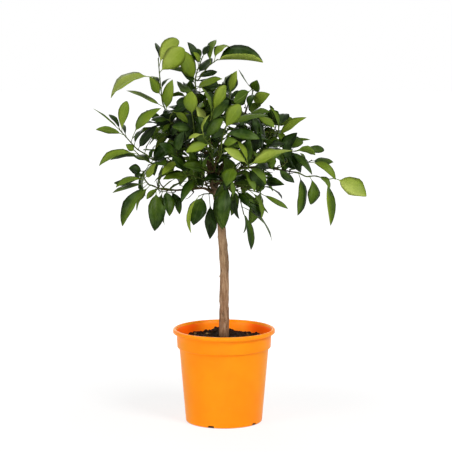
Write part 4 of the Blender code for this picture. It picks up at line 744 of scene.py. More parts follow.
def ruled_leaves(route, count, first_turn, tones):
    """Leaf specs spread round a twig by the golden angle, upper sides towards its end."""
    darkest, paler, tone_turn = tones
    made = []
    for index, share in enumerate(evenly(RULED_FIRST, 1.0, count)):
        foot, along, out = turned_out(route, share, first_turn + GOLDEN_TURN * index)
        wave = math.cos(RULED_LENGTH_TURN * index + first_turn)
        length = RULED_LENGTH * (1.0 - RULED_SHORTER * (1.0 - wave))
        tip = foot + length * (along * math.cos(RULED_SPREAD) + out * math.sin(RULED_SPREAD))
        tip.z -= RULED_DROOP
        tone = darkest + paler * abs(math.sin(tone_turn * index + first_turn)) ** 3
        made.append({"at": share, "tip": tip, "width": RULED_WIDTH, "arch": RULED_ARCH, "tone": tone,
                     "turn": rolled_up(foot, tip, along)})
    return made


def rolled_up(base, tip, along):
    """The turn that brings a leaf's upper side towards the sky and the end of its twig."""
    wanted = Vector((0.0, 0.0, 1.0)) + along * TWIG_PULL
    return max(range(-180, 180, ROLL_STEP), key=lambda turn: LeafShape(
        base, tip, RULED_WIDTH * CM, turn, RULED_ARCH).upper.dot(wanted))


def trunk_radii(radii):
    """The trunk's radii in metres, read again at even steps of height."""
    heights = [point[2] for point in TRUNK_LINE]
    made = []
    for height in evenly(heights[0], heights[-1], TRUNK_RINGS):
        index = max(k for k in range(len(heights) - 1) if heights[k] <= height + TINY)
        part = (height - heights[index]) / (heights[index + 1] - heights[index])
        made.append((radii[index] + (radii[index + 1] - radii[index]) * part) / 1000)
    return made


# ---------------------------------------------------------------- materials

class Wired:
    """A socket's value. A sum on it adds the Math node that works it out."""

    def __init__(self, finish, socket):
        self.finish = finish
        self.socket = socket

    def maths(self, operation, *values):
        return self.finish.node("Math", {"operation": operation}, values)

    def __add__(self, other):
        return self.maths("ADD", self, other)

    def __sub__(self, other):
        return self.maths("SUBTRACT", self, other)

    def __rsub__(self, other):
        return self.maths("SUBTRACT", other, self)

    def __mul__(self, other):
        return self.maths("MULTIPLY", self, other)

    __radd__ = __add__
    __rmul__ = __mul__

    def size(self):
        return self.maths("ABSOLUTE", self)

    def zigzag(self, reach):
        """Runs up to the reach and back down again, over and over."""
        return self.maths("PINGPONG", self, reach)

    def step(self, low, high):
        """0 up to low, 1 from high on, and smooth between them."""
        return self.finish.node("MapRange", {"interpolation_type": "SMOOTHSTEP"},
                                (self, low, high, 0.0, 1.0))


def colour(red, green, blue):
    """A colour as it looks on screen, 0 to 255 each, as the linear values that shaders take."""
    return tuple((part / 255 / 12.92) if part <= 10 else ((part / 255 + 0.055) / 1.055) ** 2.4
                 for part in (red, green, blue)) + (1.0,)


class Finish:
    """A material in the making."""

    def __init__(self, name, **constants):
        self.material = bpy.data.materials.new(name)
        self.material.use_nodes = True
        self.tree = self.material.node_tree
        self.shader = self.tree.nodes["Principled BSDF"]
        self.looks(**constants)

    def node(self, kind, settings=None, values=(), output=0):
        """Adds a node, sets it up, and then gives its sockets their values or links."""
        made = self.tree.nodes.new("ShaderNode" + kind)
        for name, value in (settings or {}).items():
            if name == "stops":
                self.set_stops(made.color_ramp, value)
            else:
                setattr(made, name, value)
        for place, value in (values.items() if isinstance(values, dict) else enumerate(values)):
            self.feed(made.inputs[place], value)
        return Wired(self, made.outputs[output])

    def feed(self, socket, value):
        if isinstance(value, Wired):
            self.tree.links.new(value.socket, socket)
        else:
            socket.default_value = value

    @staticmethod
    def set_stops(ramp, stops):
        while len(ramp.elements) < len(stops):
            ramp.elements.new(1.0)
        for element, (place, shade) in zip(ramp.elements, stops):
            element.position = place
            element.color = shade

    def looks(self, **sockets):
        """Feeds the shader's own sockets."""
        for socket, value in sockets.items():
            self.feed(self.shader.inputs[socket.replace("_", " ")], value)
        return self.material

    def place(self, stretch=(1.0, 1.0, 1.0)):
        """Object coordinates, stretched."""
        return self.node("Mapping", None, {"Vector": self.node("TexCoord", output="Object"),
                                           "Scale": stretch})

    def tone(self):
        """The tone that set_tone() gave the mesh."""
        return self.node("Attribute", {"attribute_name": "tone"}, output="Fac")

    def parts(self, vector):
        """The three parts of a vector."""
        split = self.tree.nodes.new("ShaderNodeSeparateXYZ")
        self.feed(split.inputs[0], vector)
        return [Wired(self, socket) for socket in split.outputs]

    def distance(self, vector):
        return self.node("VectorMath", {"operation": "LENGTH"}, (vector,), output="Value")

    def grain(self, where, scale, detail=3.0, roughness=0.5):
        return self.node("TexNoise", None, {"Vector": where, "Scale": scale, "Detail": detail,
                                            "Roughness": roughness}, output="Fac")

    def ramp(self, value, *stops):
        return self.node("ValToRGB", {"stops": stops}, (value,), output="Color")

    def blend(self, share, first, second):
        return self.node("Mix", {"data_type": "RGBA"}, {0: share, 6: first, 7: second}, output=2)

    def relief(self, height, depth, strength=1.0):
        """Normal of a surface with this height, 0 to 1 over the depth."""
        return self.node("Bump", None, {"Strength": strength, "Distance": depth, "Height": height},
                         output="Normal")


def leaf_pattern(finish):
    """Masks of a leaf's midrib, side veins and petiole: the veins as waves and as fine lines."""
    across, along, _ = finish.parts(finish.node("UVMap", {"uv_map": "UVMap"}))
    off_rib = (across - 0.5).size()
    rib = 1.0 - off_rib.step(0.012, 0.045)
    slant = along - off_rib * (off_rib + 1.0) * 0.32
    veins = (slant * VEIN_PAIRS).zigzag(0.5)
    petiole = 1.0 - along.step(PETIOLE - 0.03, PETIOLE + 0.03)
    return rib, veins, 1.0 - veins.step(0.02, 0.12), petiole


def lined(finish, shade, lines, highlight, petiole, stalk):
    """A leaf's shade with lines half way to the highlight, and with a petiole of its own colour."""
    pale = finish.blend(0.5, shade, highlight)
    for line in lines:
        shade = finish.blend(line, shade, pale)
    return finish.blend(petiole * 0.6, shade, stalk)


def leaf_upper_finish():
    """Smooth and a little glossy, from deep to pale green with the tone of each leaf, with painted
    reflections in grey-green patches on the darker leaves.
    """
    finish = Finish("leaf_upper", Specular_IOR_Level=0.09)
    rib, veins, vein_line, petiole = leaf_pattern(finish)
    tone = finish.tone()
    where = finish.place()
    mottle = finish.grain(where, 55.0, 4.0)
    painted_sheen = finish.grain(finish.place((1.0, 1.3, 0.8)), 38.0, 2.0)
    fine = finish.grain(where, 420.0, 2.0)
    shade = finish.ramp(tone + (mottle - 0.5) * 0.30,
                        (0.0, colour(7, 19, 0)), (0.15, colour(29, 51, 6)), (0.4, colour(79, 103, 22)),
                        (0.7, colour(120, 140, 42)), (1.0, colour(164, 178, 88)))
    # painted reflection: patches blended towards grey-green stand in for the sheen of the sky on the waxy
    # leaves, most on the dark ones
    shade = finish.blend(painted_sheen.step(0.46, 0.68) * (0.40 - tone * 0.38), shade, colour(88, 111, 66))
    lines = vein_line * (tone * 0.05 + 0.010), rib * (tone * 0.18 + 0.05)
    shade = lined(finish, shade, lines, colour(166, 184, 88), petiole, colour(108, 130, 46))
    height = (veins * 0.7 - rib * 0.5) * (1.0 - tone * 0.9) + fine * 0.15 + mottle * 0.8
    return finish.looks(Base_Color=shade, Roughness=0.32 + tone * 0.18 + (fine - 0.5) * 0.12,
                        Normal=finish.relief(height, 0.0006, 0.6))


def leaf_underside_finish():
    """Paler and duller than the upper side, with veins that stand out."""
    finish = Finish("leaf_underside", Specular_IOR_Level=0.0)
    rib, _, vein_line, petiole = leaf_pattern(finish)
    mottle = finish.grain(finish.place(), 60.0, 4.0)
    shade = finish.ramp(finish.tone() + (mottle - 0.5) * 0.12,
                        (0.0, colour(46, 70, 24)), (0.3, colour(80, 104, 38)), (0.6, colour(120, 142, 52)),
                        (1.0, colour(168, 186, 84)))
    lines = vein_line * 0.10, rib * 0.40
    shade = lined(finish, shade, lines, colour(176, 192, 108), petiole, colour(116, 140, 54))
    height = rib + vein_line * 0.4 + mottle * 0.3
    return finish.looks(Base_Color=shade, Roughness=0.56 + mottle * 0.12,
                        Normal=finish.relief(height, 0.0002, 0.5))


def twig_finish():
    """Young green wood with pale specks, browner where the tone is dark."""
    finish = Finish("twig_green", Specular_IOR_Level=0.04)
    where = finish.place()
    speckle = finish.grain(where, 900.0, 2.0)
    mottle = finish.grain(where, 110.0, 3.0)
    shade = finish.ramp(finish.tone() + (mottle - 0.5) * 0.3,
                        (0.0, colour(50, 46, 24)), (0.4, colour(74, 90, 34)), (1.0, colour(128, 150, 56)))
    shade = finish.blend(speckle.step(0.58, 0.70) * 0.25, shade, colour(150, 152, 100))
    return finish.looks(Base_Color=shade, Roughness=0.46 + speckle * 0.18,
                        Normal=finish.relief(speckle, 0.0003, 0.5))


def bark_finish():
    """Grey-brown bark, paler and cracked at the foot, smoother and browner above, green at the ends, and
    darkened inside the crown by painted shade."""
    finish = Finish("bark", Specular_IOR_Level=0.04)
    where = finish.place()
    height_up = finish.parts(where)[2]
    streak = finish.grain(finish.place((1.0, 1.0, 0.16)), 330.0, 5.0, 0.62)
    patch = finish.grain(finish.place((1.0, 1.0, 0.45)), 75.0, 3.0)
    speck = finish.grain(where, 900.0, 2.0)
    crack = finish.grain(finish.place((1.0, 1.0, 0.3)), 240.0, 4.0, 0.6)
    low = finish.ramp(streak * 0.7 + patch * 0.3, (0.30, colour(98, 70, 48)), (0.47, colour(142, 109, 82)),
                      (0.60, colour(174, 144, 116)), (0.72, colour(206, 184, 158)))
    high = finish.ramp(streak * 0.6 + patch * 0.4, (0.30, colour(106, 80, 56)),
                       (0.50, colour(160, 130, 100)), (0.66, colour(194, 166, 134)))
    shade = finish.blend((height_up + (patch - 0.5) * 0.06).step(0.215, 0.33), low, high)
    for share, tint in ((crack.step(0.60, 0.68) * 0.55, (70, 52, 36)),
                        (speck.step(0.60, 0.70) * 0.4, (196, 180, 156)),
                        (finish.tone() * 0.8, (66, 72, 30)),
                        # painted shade: near black-brown from a height of about 0.41 m up, where the crown's
                        # leaves shade the wood
                        (height_up.step(0.41, 0.49) * 0.86, (47, 36, 17)),
                        ((1.0 - height_up.step(0.168, 0.186)) * 0.7, (74, 54, 36))):
        shade = finish.blend(share, shade, colour(*tint))
    bumps = streak * 0.8 + patch * 0.6 - crack.step(0.58, 0.66) * 0.7 + speck * 0.25
    return finish.looks(Base_Color=shade, Roughness=0.72 + speck * 0.18,
                        Normal=finish.relief(bumps, 0.0010, 0.8))


def plastic_finish(name, body, deep, glow, ends=None):
    """Satin moulded plastic with a fine skin and faint scuffs. The glow is painted light: an emission that
    stands in for light that comes through the thin wall. Where the wall turns to the left and right ends it
    may be another colour, painted shade."""
    finish = Finish(name, Specular_IOR_Level=0.12, Subsurface_Weight=0.5,
                    Subsurface_Radius=(1.0, 0.30, 0.08), Subsurface_Scale=0.0018,
                    Emission_Color=deep, Emission_Strength=glow)
    if ends:
        # painted shade: the colour and the glow deepen towards the left and right ends of the wall, by the
        # distance across
        painted_end_shade = finish.distance(finish.place((1.0, 0.0, 0.0))).step(*PAINTED_SHADE_SPAN)
        body, deep = finish.blend(painted_end_shade, body, ends), finish.blend(painted_end_shade, deep, ends)
        finish.looks(Emission_Color=deep)
    where = finish.place()
    cloud = finish.grain(where, 14.0, 3.0)
    skin = finish.grain(where, 1400.0, 2.0)
    scuff = finish.grain(finish.place((1.0, 1.0, 5.0)), 120.0, 5.0, 0.65).step(0.64, 0.74)
    shade = finish.blend(cloud.step(0.35, 0.70) * 0.55, body, deep)
    shade = finish.blend(scuff * 0.12, shade, colour(255, 214, 160))
    return finish.looks(Base_Color=shade, Roughness=0.38 + scuff * 0.16 + (cloud - 0.5) * 0.08,
                        Normal=finish.relief(skin, 0.00012, 0.35))


def mix_finish():
    """Dark crumbly compost, with the tone of each crumb."""
    finish = Finish("compost", Specular_IOR_Level=0.2)
    where = finish.place()
    coarse = finish.grain(where, 260.0, 4.0, 0.6)
    fine = finish.grain(where, 1500.0, 3.0, 0.6)
    shade = finish.ramp(finish.tone() * 0.9 + (coarse - 0.5) * 0.5 + (fine - 0.5) * 0.25,
                        (0.0, colour(22, 11, 3)), (0.3, colour(51, 29, 10)), (0.6, colour(98, 66, 28)),
                        (1.0, colour(186, 152, 98)))
    return finish.looks(Base_Color=shade, Roughness=0.92,
                        Normal=finish.relief(coarse + fine * 0.5, 0.0012, 0.9))


# ---------------------------------------------------------------- modelling by hand

def select(*pieces):
    """Selects these objects alone, and makes the first of them active."""
    bpy.ops.object.select_all(action="DESELECT")
    for piece in pieces:
        piece.select_set(True)
    bpy.context.view_layer.objects.active = pieces[0]


def join(pieces):
    """Joins the pieces into the first of them."""
    select(*pieces)
    bpy.ops.object.join()
    return bpy.context.object


def show(made):
    """Puts a new object into the scene."""
    bpy.context.scene.collection.objects.link(made)
    return made


def primitive(add, name, **settings):
    """Adds a primitive with nothing else selected, and names it."""
    bpy.ops.object.select_all(action="DESELECT")
    add(**settings)
    made = bpy.context.object
    made.name = made.data.name = name
    return made


def pick(piece, wanted):
    """Selects the vertices that pass the test, in edit mode, and nothing else."""
    shape = bmesh.from_edit_mesh(piece.data)
    for vert in shape.verts:
        vert.select = wanted(vert)
    shape.select_flush_mode()
    bmesh.update_edit_mesh(piece.data)


def thrown(name, profile, sides):
    """A turned shell: a first ring, extruded, widened and raised along the profile, ends closed."""
    radius, height = profile[0]
    piece = primitive(bpy.ops.mesh.primitive_circle_add, name, vertices=sides, radius=radius,
                      location=(0.0, 0.0, height))
    bpy.ops.object.transform_apply(location=True)
    bpy.ops.object.mode_set(mode="EDIT")
    bpy.ops.mesh.select_all(action="SELECT")
    bpy.ops.mesh.edge_face_add()
    for (radius, height), (next_radius, next_height) in zip(profile, profile[1:]):
        bpy.ops.mesh.extrude_region_move(
            TRANSFORM_OT_translate={"value": (0.0, 0.0, next_height - height)})
        widen = next_radius / radius
        bpy.ops.transform.resize(value=(widen, widen, 1.0), center_override=(0.0, 0.0, 0.0))
    bpy.ops.mesh.select_all(action="SELECT")
    bpy.ops.mesh.normals_make_consistent(inside=False)
    bpy.ops.object.mode_set(mode="OBJECT")
    return piece


def tube(name, places, radii, resolution):
    """A round tube through the places, drawn as a curve with a bevel and made a mesh."""
    curve = bpy.data.curves.new(name, "CURVE")
    curve.dimensions = "3D"
    curve.bevel_depth = 1.0
    curve.bevel_resolution = resolution
    curve.use_fill_caps = True
    line = curve.splines.new("POLY")
    line.points.add(len(places) - 1)
    for point, place, radius in zip(line.points, places, radii):
        point.co = (*place, 1.0)
        point.radius = radius
    select(show(bpy.data.objects.new(name, curve)))
    bpy.ops.object.convert(target="MESH")
    return bpy.context.object


def points_of(mesh):
    flat = np.empty(len(mesh.vertices) * 3, np.float64)
    mesh.vertices.foreach_get("co", flat)
    return flat.reshape(-1, 3)


def set_points(mesh, places):
    mesh.vertices.foreach_set("co", np.asarray(places, np.float32).ravel())
    mesh.update()


def set_tone(mesh, tones, below=None):
    """Gives every corner the tone of its vertex, or the tone below where the face is an underside."""
    layer = mesh.attributes.new("tone", "FLOAT", "CORNER")
    corners = np.zeros(len(mesh.loops), dtype=np.int32)
    mesh.loops.foreach_get("vertex_index", corners)
    values = np.broadcast_to(np.asarray(tones, dtype=np.float32), len(mesh.vertices))[corners]
    if below is not None:
        for face in mesh.polygons:
            if face.material_index:
                values[face.loop_start:face.loop_start + face.loop_total] = below
    layer.data.foreach_set("value", values)


def finished(piece, name, node=None, smooth=False):
    """Names the piece, lets it ride, and has it stand for its CAD node if it has one."""
    piece.name = piece.data.name = name
    if smooth:
        piece.data.shade_smooth()
    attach(piece, "root")
    if node:
        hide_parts(node)


# ---------------------------------------------------------------- pot

def arc(centre, radius, first, last, steps):
    """Points of a round stretch of a profile. Angles are degrees from outwards, and up is 90."""
    return [(centre[0] + radius * math.cos(math.radians(angle)),
             centre[1] + radius * math.sin(math.radians(angle))) for angle in evenly(first, last, steps)]


def body_radius(height):
    return FOOT_RADIUS + (SHOULDER_RADIUS - FOOT_RADIUS) * height / (COLLAR_BOTTOM - STEP_ROUND)


def pot_profile():
    """From the middle of the underside, out and up over the lip, and down inside to the floor."""
    lip_bottom = POT_HEIGHT - LIP_DROP
    skirt = FOOT_RADIUS - SKIRT_THICKNESS
    under = [(BASE_PAD_RADIUS, 0.0), (BASE_PAD_RADIUS + 0.0008, 0.0004),
             (BASE_PAD_RADIUS + 0.0020, FLOOR_UNDERSIDE), (skirt, FLOOR_UNDERSIDE), (skirt + 0.0002, 0.0006),
             (skirt + 0.0008, 0.0)]
    foot = arc((FOOT_RADIUS - FOOT_ROUND, FOOT_ROUND), FOOT_ROUND, -90.0, 0.0, 4)
    body = [(body_radius(height), height) for height in (0.006, 0.012, 0.040, 0.080, 0.115, 0.135)]
    shoulder = arc((SHOULDER_RADIUS + COLLAR_ROUND, COLLAR_BOTTOM - STEP_ROUND), COLLAR_ROUND,
                   180.0, 100.0, 4)
    edge = COLLAR_RADIUS - COLLAR_TAPER - COLLAR_ROUND
    collar = [(edge, COLLAR_BOTTOM - 0.0014)] + arc((edge, COLLAR_BOTTOM), COLLAR_ROUND, -70.0, 0.0, 4)
    collar += [(COLLAR_RADIUS - 0.0004, 0.5 * (COLLAR_BOTTOM + lip_bottom)), (COLLAR_RADIUS, lip_bottom)]
    under_lip = [(COLLAR_RADIUS + 0.0008, lip_bottom + 0.0030),
                 (COLLAR_RADIUS + 0.0018, POT_HEIGHT - 0.0036), (RIM_RADIUS - 0.0034, POT_HEIGHT - 0.0030),
                 (RIM_RADIUS - 0.0018, POT_HEIGHT - 0.0044), (RIM_RADIUS - 0.0016, lip_bottom + 0.0004)]
    skirt_edge = arc((RIM_RADIUS - 0.0008, lip_bottom + SKIRT_ROUND), SKIRT_ROUND, 200.0, 350.0, 5)
    roll = arc((RIM_RADIUS - LIP_ROUND, POT_HEIGHT - LIP_ROUND), LIP_ROUND, 4.0, 110.0, 9)
    inside = [(COLLAR_RADIUS + 0.0014, POT_HEIGHT - 0.0016), (COLLAR_RADIUS - 0.0004, POT_HEIGHT - 0.0044),
              (COLLAR_RADIUS - WALL, lip_bottom - WALL),
              (COLLAR_RADIUS - COLLAR_TAPER - WALL, COLLAR_BOTTOM + 2 * WALL),
              (SHOULDER_RADIUS - WALL, COLLAR_BOTTOM - WALL)]
    inside += [(body_radius(height) - WALL, height) for height in (0.110, 0.060, 0.012)]
    inside += arc((body_radius(FLOOR_TOP) - WALL - FLOOR_ROUND, FLOOR_TOP + FLOOR_ROUND), FLOOR_ROUND,
                  0.0, -90.0, 4)
    return under + foot + body + shoulder + collar + under_lip + skirt_edge + roll + inside


def drainage_cutters():
    """A block for each notch in the foot and a rod for each drain hole, as one object."""
    cutters = []
    for index in range(NOTCH_COUNT):
        angle = FIRST_NOTCH + math.tau * index / NOTCH_COUNT
        out = Vector((math.cos(angle), math.sin(angle), 0.0))
        block = primitive(bpy.ops.mesh.primitive_cube_add, "notch_block", size=1.0,
                          location=out * FOOT_RADIUS + Vector((0.0, 0.0, (NOTCH_HEIGHT - CUT_BELOW) / 2)),
                          rotation=(0.0, 0.0, angle),
                          scale=(NOTCH_DEPTH, NOTCH_WIDTH, NOTCH_HEIGHT + CUT_BELOW))
        bpy.ops.object.mode_set(mode="EDIT")
        pick(block, lambda vert: vert.co.z > 0.0)
        bpy.ops.mesh.bevel(offset=NOTCH_ROUND, segments=4, affect="EDGES")
        bpy.ops.object.mode_set(mode="OBJECT")
        rod = primitive(bpy.ops.mesh.primitive_cylinder_add, "drain_rod", vertices=24,
                        radius=DRAIN_HOLE_RADIUS, depth=DRAIN_ROD_LENGTH,
                        location=out * DRAIN_HOLE_CIRCLE + Vector((0.0, 0.0, FLOOR_UNDERSIDE)))
        cutters += [block, rod]
    return join(cutters)


def build_pot():
    pot = thrown("nursery_pot", pot_profile(), POT_SIDES)
    cutter = drainage_cutters()
    select(pot)
    drainage = pot.modifiers.new("drainage", "BOOLEAN")
    drainage.object = cutter
    drainage.operation = "DIFFERENCE"
    bpy.ops.object.modifier_apply(modifier=drainage.name)
    bpy.data.objects.remove(cutter)
    # the last number of each is its glow, painted light; the inside is a lit copy of the outside's plastic,
    # with a stronger glow and painted shade towards its ends
    for finish in (("pot_plastic", colour(255, 150, 14), colour(255, 138, 10), 0.07),
                   ("pot_plastic_inside", colour(255, 142, 22), colour(255, 132, 14), 0.25,
                    colour(255, 98, 3))):
        pot.data.materials.append(plastic_finish(*finish))
    for face in pot.data.polygons:
        middle = Vector(face.center)
        inward = face.normal.dot(Vector((middle.x, middle.y, 0.0)).normalized()) < -0.3
        face.material_index = int(inward and middle.z > FLOOR_TOP and middle.xy.length < COLLAR_RADIUS)
    select(pot)
    bpy.ops.object.shade_smooth_by_angle(angle=SMOOTH_ANGLE)
    finished(pot, "nursery_pot", "pot")


# ---------------------------------------------------------------- potting mix

def mix_height(x, y):
    """The mix's surface: a low mound with lumps, a heap behind the trunk, and crumbs."""
    mound = MIX_MOUND * (1.0 - math.hypot(x, y) / COLLAR_RADIUS)
    mound += HEAP_RISE * math.exp(-(Vector((x, y)) - HEAP).length_squared / HEAP_REACH ** 2)
    waves = sum(math.sin(across * x + along * y + phase) for across, along, phase in MIX_WAVES)
    near = noise.voronoi(Vector((x, y, 0.0)) / CRUMB_SIZE)[0]
    crumbs = CRUMB_RISE * (1.0 - near[0]) + GRIT_RISE * noise.noise(Vector((x, y, 0.02)) / GRIT_SIZE)
    return MIX_EDGE_HEIGHT + mound + MIX_WAVE * waves + crumbs - MIX_SINK


def build_mix():
    edge = COLLAR_RADIUS - COLLAR_TAPER - WALL - MIX_GAP
    wall = [MIX_UNDERSIDE, (body_radius(MIX_FOOT) - WALL - MIX_GAP, MIX_FOOT),
            (SHOULDER_RADIUS - WALL - MIX_GAP, COLLAR_BOTTOM - WALL), (edge, COLLAR_BOTTOM + 2 * WALL)]
    top = [(radius, MIX_EDGE_HEIGHT) for radius in evenly(edge, MIX_SOCKET, MIX_RINGS)]
    bed = thrown("compost_bed", wall + top, MIX_SIDES)
    places = points_of(bed.data)
    for index in np.flatnonzero(np.abs(places[:, 2] - MIX_EDGE_HEIGHT) < SAME):
        places[index, 2] = mix_height(*places[index, :2])
    set_points(bed.data, places)
    set_tone(bed.data, [0.10 + 0.14 * noise.noise(Vector(place) / MIX_GRAIN) for place in places])
    finish = mix_finish()
    bed.data.materials.append(finish)
    finished(bed, "compost_bed", "potting_mix", smooth=True)
    crumbs = scattered_crumbs(edge)
    crumbs.data.materials.append(finish)
    finished(crumbs, "compost_crumbs", "potting_mix", smooth=True)


def crumb_blanks():
    """Balls with lumps and dents, from which every crumb is copied."""
    blanks = []
    for index in range(CRUMB_SHAPES):
        blank = primitive(bpy.ops.mesh.primitive_ico_sphere_add, "crumb_blank", subdivisions=2, radius=1.0)
        places = points_of(blank.data)
        for place in places:
            spot = Vector(place) * CRUMB_LUMP_COUNT + Vector((index * CRUMB_SHAPES_APART, 0.0, 0.0))
            place *= 1.0 + CRUMB_LUMPS * noise.noise(spot)
        set_points(blank.data, places)
        blanks.append(blank)
    return blanks


def scattered_crumbs(edge):
    """Loose crumbs and long chips that lie on the bed, evenly spread."""
    chance = random.Random(CRUMB_SEED)
    blanks = crumb_blanks()
    crumbs = []
    while len(crumbs) < CRUMBS:
        angle, reach = chance.uniform(0.0, math.tau), math.sqrt(chance.uniform(0.0, 1.0))
        radius = CRUMBS_FROM + reach * (edge - CRUMBS_MARGIN)
        x, y = radius * math.cos(angle), radius * math.sin(angle)
        size = CRUMB_LEAST + CRUMB_MORE * chance.random() ** CRUMB_FEW_LARGE
        if radius + size > edge - CRUMB_OFF_WALL or radius - size < CRUMB_OFF_TRUNK:
            continue
        chip = chance.random() < CHIPS
        stretch = Vector((chance.uniform(1.5, 3.0), 0.7, 0.5)) if chip else Vector((1.15, 1.0, 0.8))
        size *= CHIP_SIZE if chip else 1.0
        crumb = blanks[len(crumbs) % CRUMB_SHAPES].copy()
        crumb.data = crumb.data.copy()
        turn = chance.uniform(0.0, math.tau)
        places = points_of(crumb.data) * np.array(stretch) * size
        cosine, sine = math.cos(turn), math.sin(turn)
        spun = np.column_stack((places[:, 0] * cosine - places[:, 1] * sine,
                                places[:, 0] * sine + places[:, 1] * cosine, places[:, 2]))
        rest = mix_height(x, y) + size * chance.uniform(0.1, 0.7)
        set_points(crumb.data, spun + np.array((x, y, rest)))
        pale = chance.random() < (PALE_CHIPS if chip else PALE_CRUMBS)
        set_tone(crumb.data, chance.uniform(*(PALE_TONES if pale else DARK_TONES)))
        crumbs.append(show(crumb))
    for blank in blanks:
        bpy.data.objects.remove(blank)
    return join(crumbs)


# ---------------------------------------------------------------- wood

def bark_height(place):
    """How far the trunk's bark stands out at a place: upright ridges, and wider swellings."""
    return sum(rise * noise.noise(Vector((place[0] * level, place[1] * level, place[2] * upright)) / size)
               for rise, size, level, upright in TRUNK_BARK)


def build_trunk(route, bark):
    shares = evenly(0.0, 1.0, TRUNK_STEPS)
    line = [route.at(share)[0] for share in shares]
    trunk = tube("trunk_bark", line, [route.radius(share) * TRUNK_FULLNESS for share in shares], 14)
    places = points_of(trunk.data)
    for place in places:
        centre = min(line, key=lambda spot: abs(spot.z - place[2]))
        out = Vector((place[0] - centre.x, place[1] - centre.y, 0.0))
        lift = bark_height(place)
        for height, bearing, size, stands in SCARS:
            spot = Vector((math.cos(math.radians(bearing)), math.sin(math.radians(bearing)), 0.0))
            gap = (out.normalized() - spot).length * out.length
            away = math.hypot(gap, (place[2] - height) * SCAR_FLATNESS)
            lift += stands * math.exp(-(away / size) ** 2)
        place += np.array(out.normalized()) * lift
    set_points(trunk.data, places)
    set_tone(trunk.data, 0.0)
    trunk.data.materials.append(bark)
    finished(trunk, "trunk_bark", "trunk", smooth=True)


def rooted(parent, share, route):
    """Places of a branch's centre line, from inside its parent on, with their shares of the route."""
    foot, along = parent.at(share)
    shares = evenly(0.0, 1.0, LIMB_STEPS)
    line = [route.at(part)[0] for part in shares]
    inside = line[0].lerp(foot, ROOTED) if share < 1.0 else foot - along * ROOTED_END
    return [inside] + line, [0.0] + shares


def flared(parent, share, collars, radius, run, reach):
    """How much thicker a branch is, this far along it, for the collar that it leaves its parent with."""
    collar = parent.radius(share) * collars[share >= 1.0]
    return max(collar - radius, 0.0) * math.exp(-(run / reach) ** 1.5)


def build_limb(name, parent, share, route, bark):
    line, shares = rooted(parent, share, route)
    radii = []
    for part in shares:
        radius, run = route.radius(part), part * route.length
        wave = 1.0 + LIMB_WAVE * math.sin(run * LIMB_WAVES + 2.0 * share)
        radii.append(radius * wave * LIMB_SLENDER
                     + flared(parent, share, LIMB_COLLARS, radius, run, LIMB_FLARE))
    limb = tube(name, line, radii, 5)
    places = points_of(limb.data)
    rise, size = LIMB_BARK
    for place in places:
        place += rise * np.array(noise.noise_vector(Vector(place) / size))
    set_points(limb.data, places)
    set_tone(limb.data, [LIMB_TONE[0] + LIMB_TONE[1] * route_share(route, place) for place in places])
    limb.data.materials.append(bark)
    finished(limb, name.replace("limb", "branch"), name, smooth=True)


def route_share(route, place):
    """Share of the route's length at its point nearest to the place."""
    spot = Vector(place)
    index = min(range(0, len(route.line), 2), key=lambda k: (route.line[k] - spot).length_squared)
    return route.run[index] / route.length


# ---------------------------------------------------------------- leaves

def half_width(share, blunt):
    """Half the width of a leaf at this share of its length, as a share of the widest."""
    if share < PETIOLE:
        return 2 * PETIOLE_RADIUS / LEAF_WIDTH
    along = (share - PETIOLE) / (1.0 - PETIOLE)
    lean, pinch, end = BLUNT_OUTLINE if blunt else POINTED_OUTLINE
    return max(math.sin(math.pi * along ** lean) ** pinch, end)


def model_leaf(name, heights, blunt, upper, underside):
    """A flat leaf of true size, shaped row by row from a grid and closed by a second skin below it."""
    row_count = len(heights) - 1
    blank = primitive(bpy.ops.mesh.primitive_grid_add, name, x_subdivisions=LEAF_COLUMNS,
                      y_subdivisions=row_count, size=1.0)
    rows = {vert.index: round((vert.co.y + 0.5) * row_count) for vert in blank.data.vertices}
    columns = {vert.index: round((vert.co.x + 0.5) * LEAF_COLUMNS) for vert in blank.data.vertices}
    bpy.ops.object.mode_set(mode="EDIT")
    for row, share in enumerate(heights):
        pick(blank, lambda vert, row=row: rows[vert.index] == row)
        width = half_width(share, blunt) * LEAF_WIDTH
        bpy.ops.transform.resize(value=(width, 1.0, 1.0), center_override=(0.0, 0.0, 0.0))
        bpy.ops.transform.translate(value=(0.0, share * LEAF_LENGTH - (row / row_count - 0.5), 0.0))
    bpy.ops.mesh.select_all(action="SELECT")
    bpy.ops.mesh.extrude_region_move(TRANSFORM_OT_translate={"value": (0.0, 0.0, 0.0)})
    part_skins(blank, rows, columns, row_count)
    bpy.ops.mesh.select_all(action="SELECT")
    bpy.ops.mesh.remove_doubles(threshold=SAME)
    bpy.ops.mesh.normals_make_consistent(inside=False)
    if bmesh.from_edit_mesh(blank.data).calc_volume(signed=True) < 0.0:
        bpy.ops.mesh.flip_normals()
    bpy.ops.object.mode_set(mode="OBJECT")
    blank.data.materials.append(upper)
    blank.data.materials.append(underside)
    for face in blank.data.polygons:
        face.material_index = int(face.center.z < 0.0)
    blank.data.shade_smooth()
    return blank


def part_skins(blank, rows, columns, row_count):
    """Parts the two skins inside the margin: half the thickness up, and half of it down."""
    shape = bmesh.from_edit_mesh(blank.data)
    shape.verts.index_update()
    shape.verts.ensure_lookup_table()
    for vert in shape.verts:
        first = vert.index < len(rows)
        twin = vert.index if first else nearest_index(shape, vert, len(rows))
        if not (0 < columns[twin] < LEAF_COLUMNS and 0 < rows[twin] < row_count):
            continue
        middle = columns[twin] == LEAF_COLUMNS // 2
        if rows[twin] < PETIOLE_ROWS:
            rise = PETIOLE_RADIUS * (1.0 if middle else PETIOLE_EDGE)
        else:
            rise = (RIB_THICKNESS if middle else BLADE_THICKNESS) / 2
        vert.co.z += -rise if first else rise
    bmesh.update_edit_mesh(blank.data)


def nearest_index(shape, vert, count):
    return min(range(count), key=lambda k: (shape.verts[k].co.xy - vert.co.xy).length_squared)


